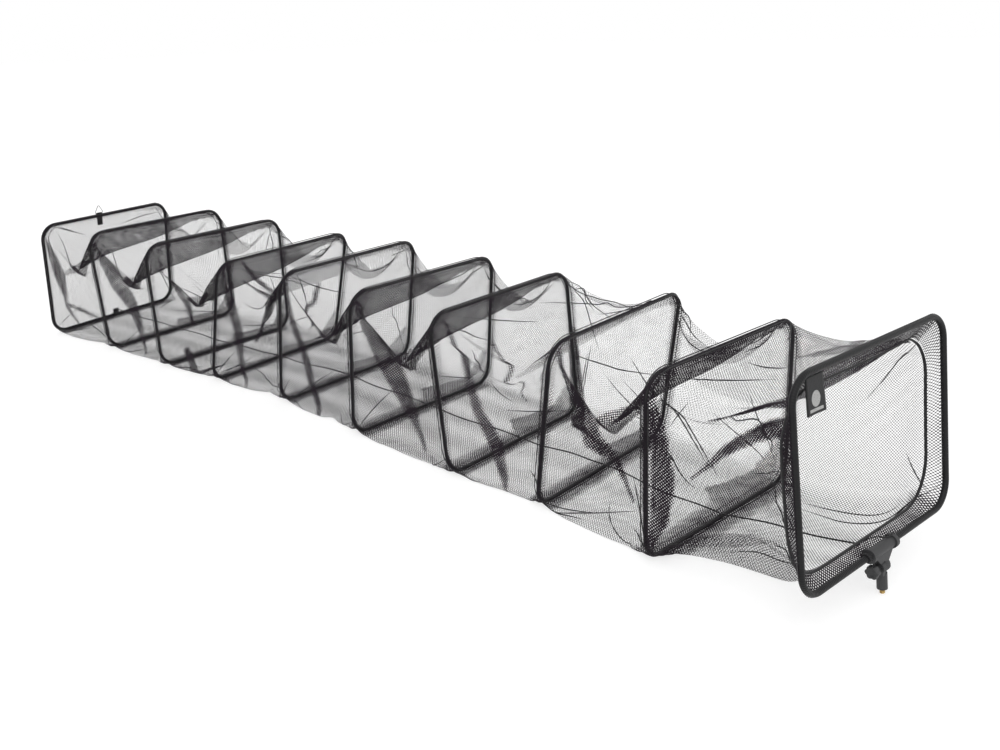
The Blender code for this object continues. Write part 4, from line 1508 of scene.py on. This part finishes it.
def buildTabs():
    world = hoopFrames[-1]
    across = np.array(world.to_3x3().col[1])
    skin, clear, aside = tabFit["skin"], tabFit["clear"], tabFit["topAside"]
    big, small = clear + skin / 2, tabFit["ringClear"] + skin / 2
    rise = clear + skin + tabFit["footRise"]

    def strap(name, points, aside, lift, width, node):
        line = evened(points, tabFit["stations"][name])
        line = [tuple(world @ Vector((ahead, aside, up + lift))) for ahead, up in line]
        mesh = strapMesh(name, np.array(line), across, width, skin * tabFit["wovenShare"])
        placed(mesh, "tail", "webbing", node)

    ringUp = clear + skin + tabFit["ringClear"]
    lean = 90 - math.degrees(math.asin((big - small) / ringUp))
    lap = 180 - math.degrees(math.asin(skin / 2 / big))
    foot, leg = -(clear + skin) - tabFit["topTail"], -big * tabFit["legShare"]
    count = tabFit["wrapPoints"]
    line = [(-skin / 2, foot), (-skin / 2, leg)] + arcPoints((0.0, 0.0), big, lap, lean, count)
    line += arcPoints((0.0, ringUp), small, lean, -lean, tabFit["ringPoints"])
    line += arcPoints((0.0, 0.0), big, -lean, -lap, count) + [(skin / 2, leg), (skin / 2, foot)]
    strap("topTab", line, aside, hoopFit["height"], tabFit["topWidth"], "top_tab")
    fold, count = rise - skin * tabFit["foldShare"], tabFit["footPoints"]
    under, beside = tabFit["footWrap"]
    line = arcPoints((0.0, 0.0), big, under, beside, count) + [(-skin / 2, fold)]
    line += arcPoints((0.0, fold), skin / 2, 90, -90, tabFit["foldPoints"])[1:-1]
    line += [(skin / 2, fold)] + arcPoints((0.0, 0.0), big, -beside, -under, count)
    strap("footTab", line, 0.0, 0.0, tabFit["footWidth"], "bottom_tab")

    rows = [(aside, hoopFit["height"] - below) for below in stitchFit["top"]]
    rows += [(0.0, stitchFit["foot"][0]), (0.0, rise - stitchFit["foot"][1])]
    stitches = []
    for number, (beside, up) in enumerate(rows):
        for side in (-1, 1):
            spot = np.array(world @ Vector((side * (skin + stitchFit["proud"]), beside, up)))
            stitches += stitchRow(f"stitch{number}", spot, across)
    placed(joined("tabStitches", stitches), "tail", "webbing")


def turnAngles(sides):
    return np.arange(sides) / sides * 2 * math.pi


def turnedMesh(name, rings, sides, material, upright):
    # a closed turned piece round the tilt joint: rings of (one radius or one for each angle, height)
    place = Matrix.Translation(jointPlace("barrel_tilt")) @ hoopFrames[0].to_3x3().to_4x4()
    vertices = []
    for radii, height in rings:
        for radius, angle in zip(np.broadcast_to(radii, sides), turnAngles(sides)):
            ahead, beside = radius * math.cos(angle), radius * math.sin(angle)
            spot = (ahead, beside, height) if upright else (ahead, height, beside)
            vertices.append(tuple(place @ Vector(spot)))
    return finishedMesh(name, vertices, ringFaces(len(rings), sides), material)


# the adaptor's threaded stud, downwards from the barrel
studFit = {
    "radius": 0.00475,
    "pitch": 0.00127,
    "perPitch": 8,
    "depth": 0.00055,
    "crest": 1.35,
    "top": -0.0425,
    "end": -0.0528,
    "threadFrom": 0.0003,
    "threadTo": 0.0008,
    "tip": [(0.00075, 0.0005), (0.0013, 0.0)],
    "sides": 48,
}


def buildStud():
    fit = studFit
    radius, pitch, depth = fit["radius"], fit["pitch"], fit["depth"]
    rings = [(radius - depth, fit["top"])]
    start, stop = fit["top"] - fit["threadFrom"], fit["end"] + fit["threadTo"]
    for height in np.arange(start, stop, -pitch / fit["perPitch"]):
        phase = (height / pitch - turnAngles(fit["sides"]) / (2 * math.pi)) % 1.0
        rings.append((radius - depth * np.minimum(1.0, np.abs(2 * phase - 1) * fit["crest"]), height))
    rings += [(radius - less, fit["end"] + above) for less, above in fit["tip"]]
    mesh = turnedMesh("studThread", rings, fit["sides"], brass, True)
    placed(mesh, "barrel", "stud_brass", "threaded_stud")


# the star knob, along its bolt: rings of (radius, place) on its hub and in the hollow of its far face, and
# of (share of the radius, share of the lobes' depth, height below the near and above the far face) on its rim
knobFit = {
    "radius": 0.013,
    "near": -0.02395,
    "far": -0.03595,
    "lobes": 6,
    "lobeDepth": 0.0021,
    "lobeRound": 0.7,
    "hub": [
        (0.0033, -0.01195), (0.0060, -0.01195), (0.0065, -0.01245), (0.0065, -0.02275), (0.0071, -0.02365),
    ],
    "rim": [
        (0.86, 0.8, 0.0002, 0.0001), (0.95, 1, 0.0007, 0.0007), (0.99, 1, 0.0016, 0.0016),
        (1.0, 1, 0.003, 0.003),
    ],
    "hollow": [(0.0078, -0.03595), (0.0072, -0.03545), (0.0066, -0.03455), (0.0030, -0.03455)],
    "sides": 96,
}


def buildKnob():
    fit = knobFit
    wave = (1 + np.cos(fit["lobes"] * turnAngles(fit["sides"]))) / 2
    dip = fit["lobeDepth"] * (1 - wave ** fit["lobeRound"])
    near, far = [], []
    for scale, share, below, above in fit["rim"]:
        radii = fit["radius"] * scale - share * dip
        near.append((radii, fit["near"] - below))
        far.append((radii, fit["far"] + above))
    rings = fit["hub"] + near + far[::-1] + fit["hollow"]
    placed(turnedMesh("starKnob", rings, fit["sides"], mouldedGrey, False), "knob", "moulding", "star_knob")


# the slack end of the draw cord: from the knot over the tee to the tie on its far side
slackFit = {
    "radius": 0.0012,
    "fromKnot": (0.002, 0.0, 0.003),
    "route": [
        (-0.0235, 0.0075, 0.0105), (-0.0165, 0.0115, 0.0128), (-0.0095, 0.0155, 0.0133),
        (-0.0035, 0.0200, 0.0124), (0.0005, 0.0255, 0.0119), (0.0020, 0.0310, 0.0128),
        (0.0015, 0.0355, 0.0149), (0.0004, 0.0395, 0.0150), (-0.0012, 0.0430, 0.0126),
        (-0.0030, 0.0460, 0.0085),
    ],
    "stations": 40,
}


def smoothLine(points, count):
    # a Catmull-Rom curve through the points
    line = np.asarray(points, float)
    padded = np.concatenate([[2 * line[0] - line[1]], line, [2 * line[-1] - line[-2]]])
    made = []
    for spot in np.linspace(0, len(line) - 1.001, count):
        index, share = int(spot), spot - int(spot)
        a, b, c, d = padded[index:index + 4]
        bend = (2 * a - 5 * b + 4 * c - d) * share**2 + (3 * b - a - 3 * c + d) * share**3
        made.append(0.5 * (2 * b + (c - a) * share + bend))
    return made


def buildSlack():
    start = hoopFrames[0].inverted() @ boxMiddle("mouth_knot")
    route = [tuple(start + Vector(slackFit["fromKnot"]))] + slackFit["route"]
    points = [tuple(hoopFrames[0] @ Vector(tuple(spot))) for spot in smoothLine(route, slackFit["stations"])]
    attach(cordPiece("slackCord", points, slackFit["radius"], "loose"), "mouth")


def dress(node, material):
    # a CAD node keeps its shape and gets its real finish
    shown = bpy.data.objects[node]
    if not shown.data.materials:
        shown.data.materials.append(material)
    for slot in shown.material_slots:
        slot.material = material


buildLabel()
buildTabs()
buildStud()
buildKnob()
buildSlack()
for node in ("tee_sleeve", "barrel", "pivot_nut"):
    dress(node, mouldedGrey)
for node in ("pivot_bolt", "tail_ring"):
    dress(node, steel)
print("trim built")
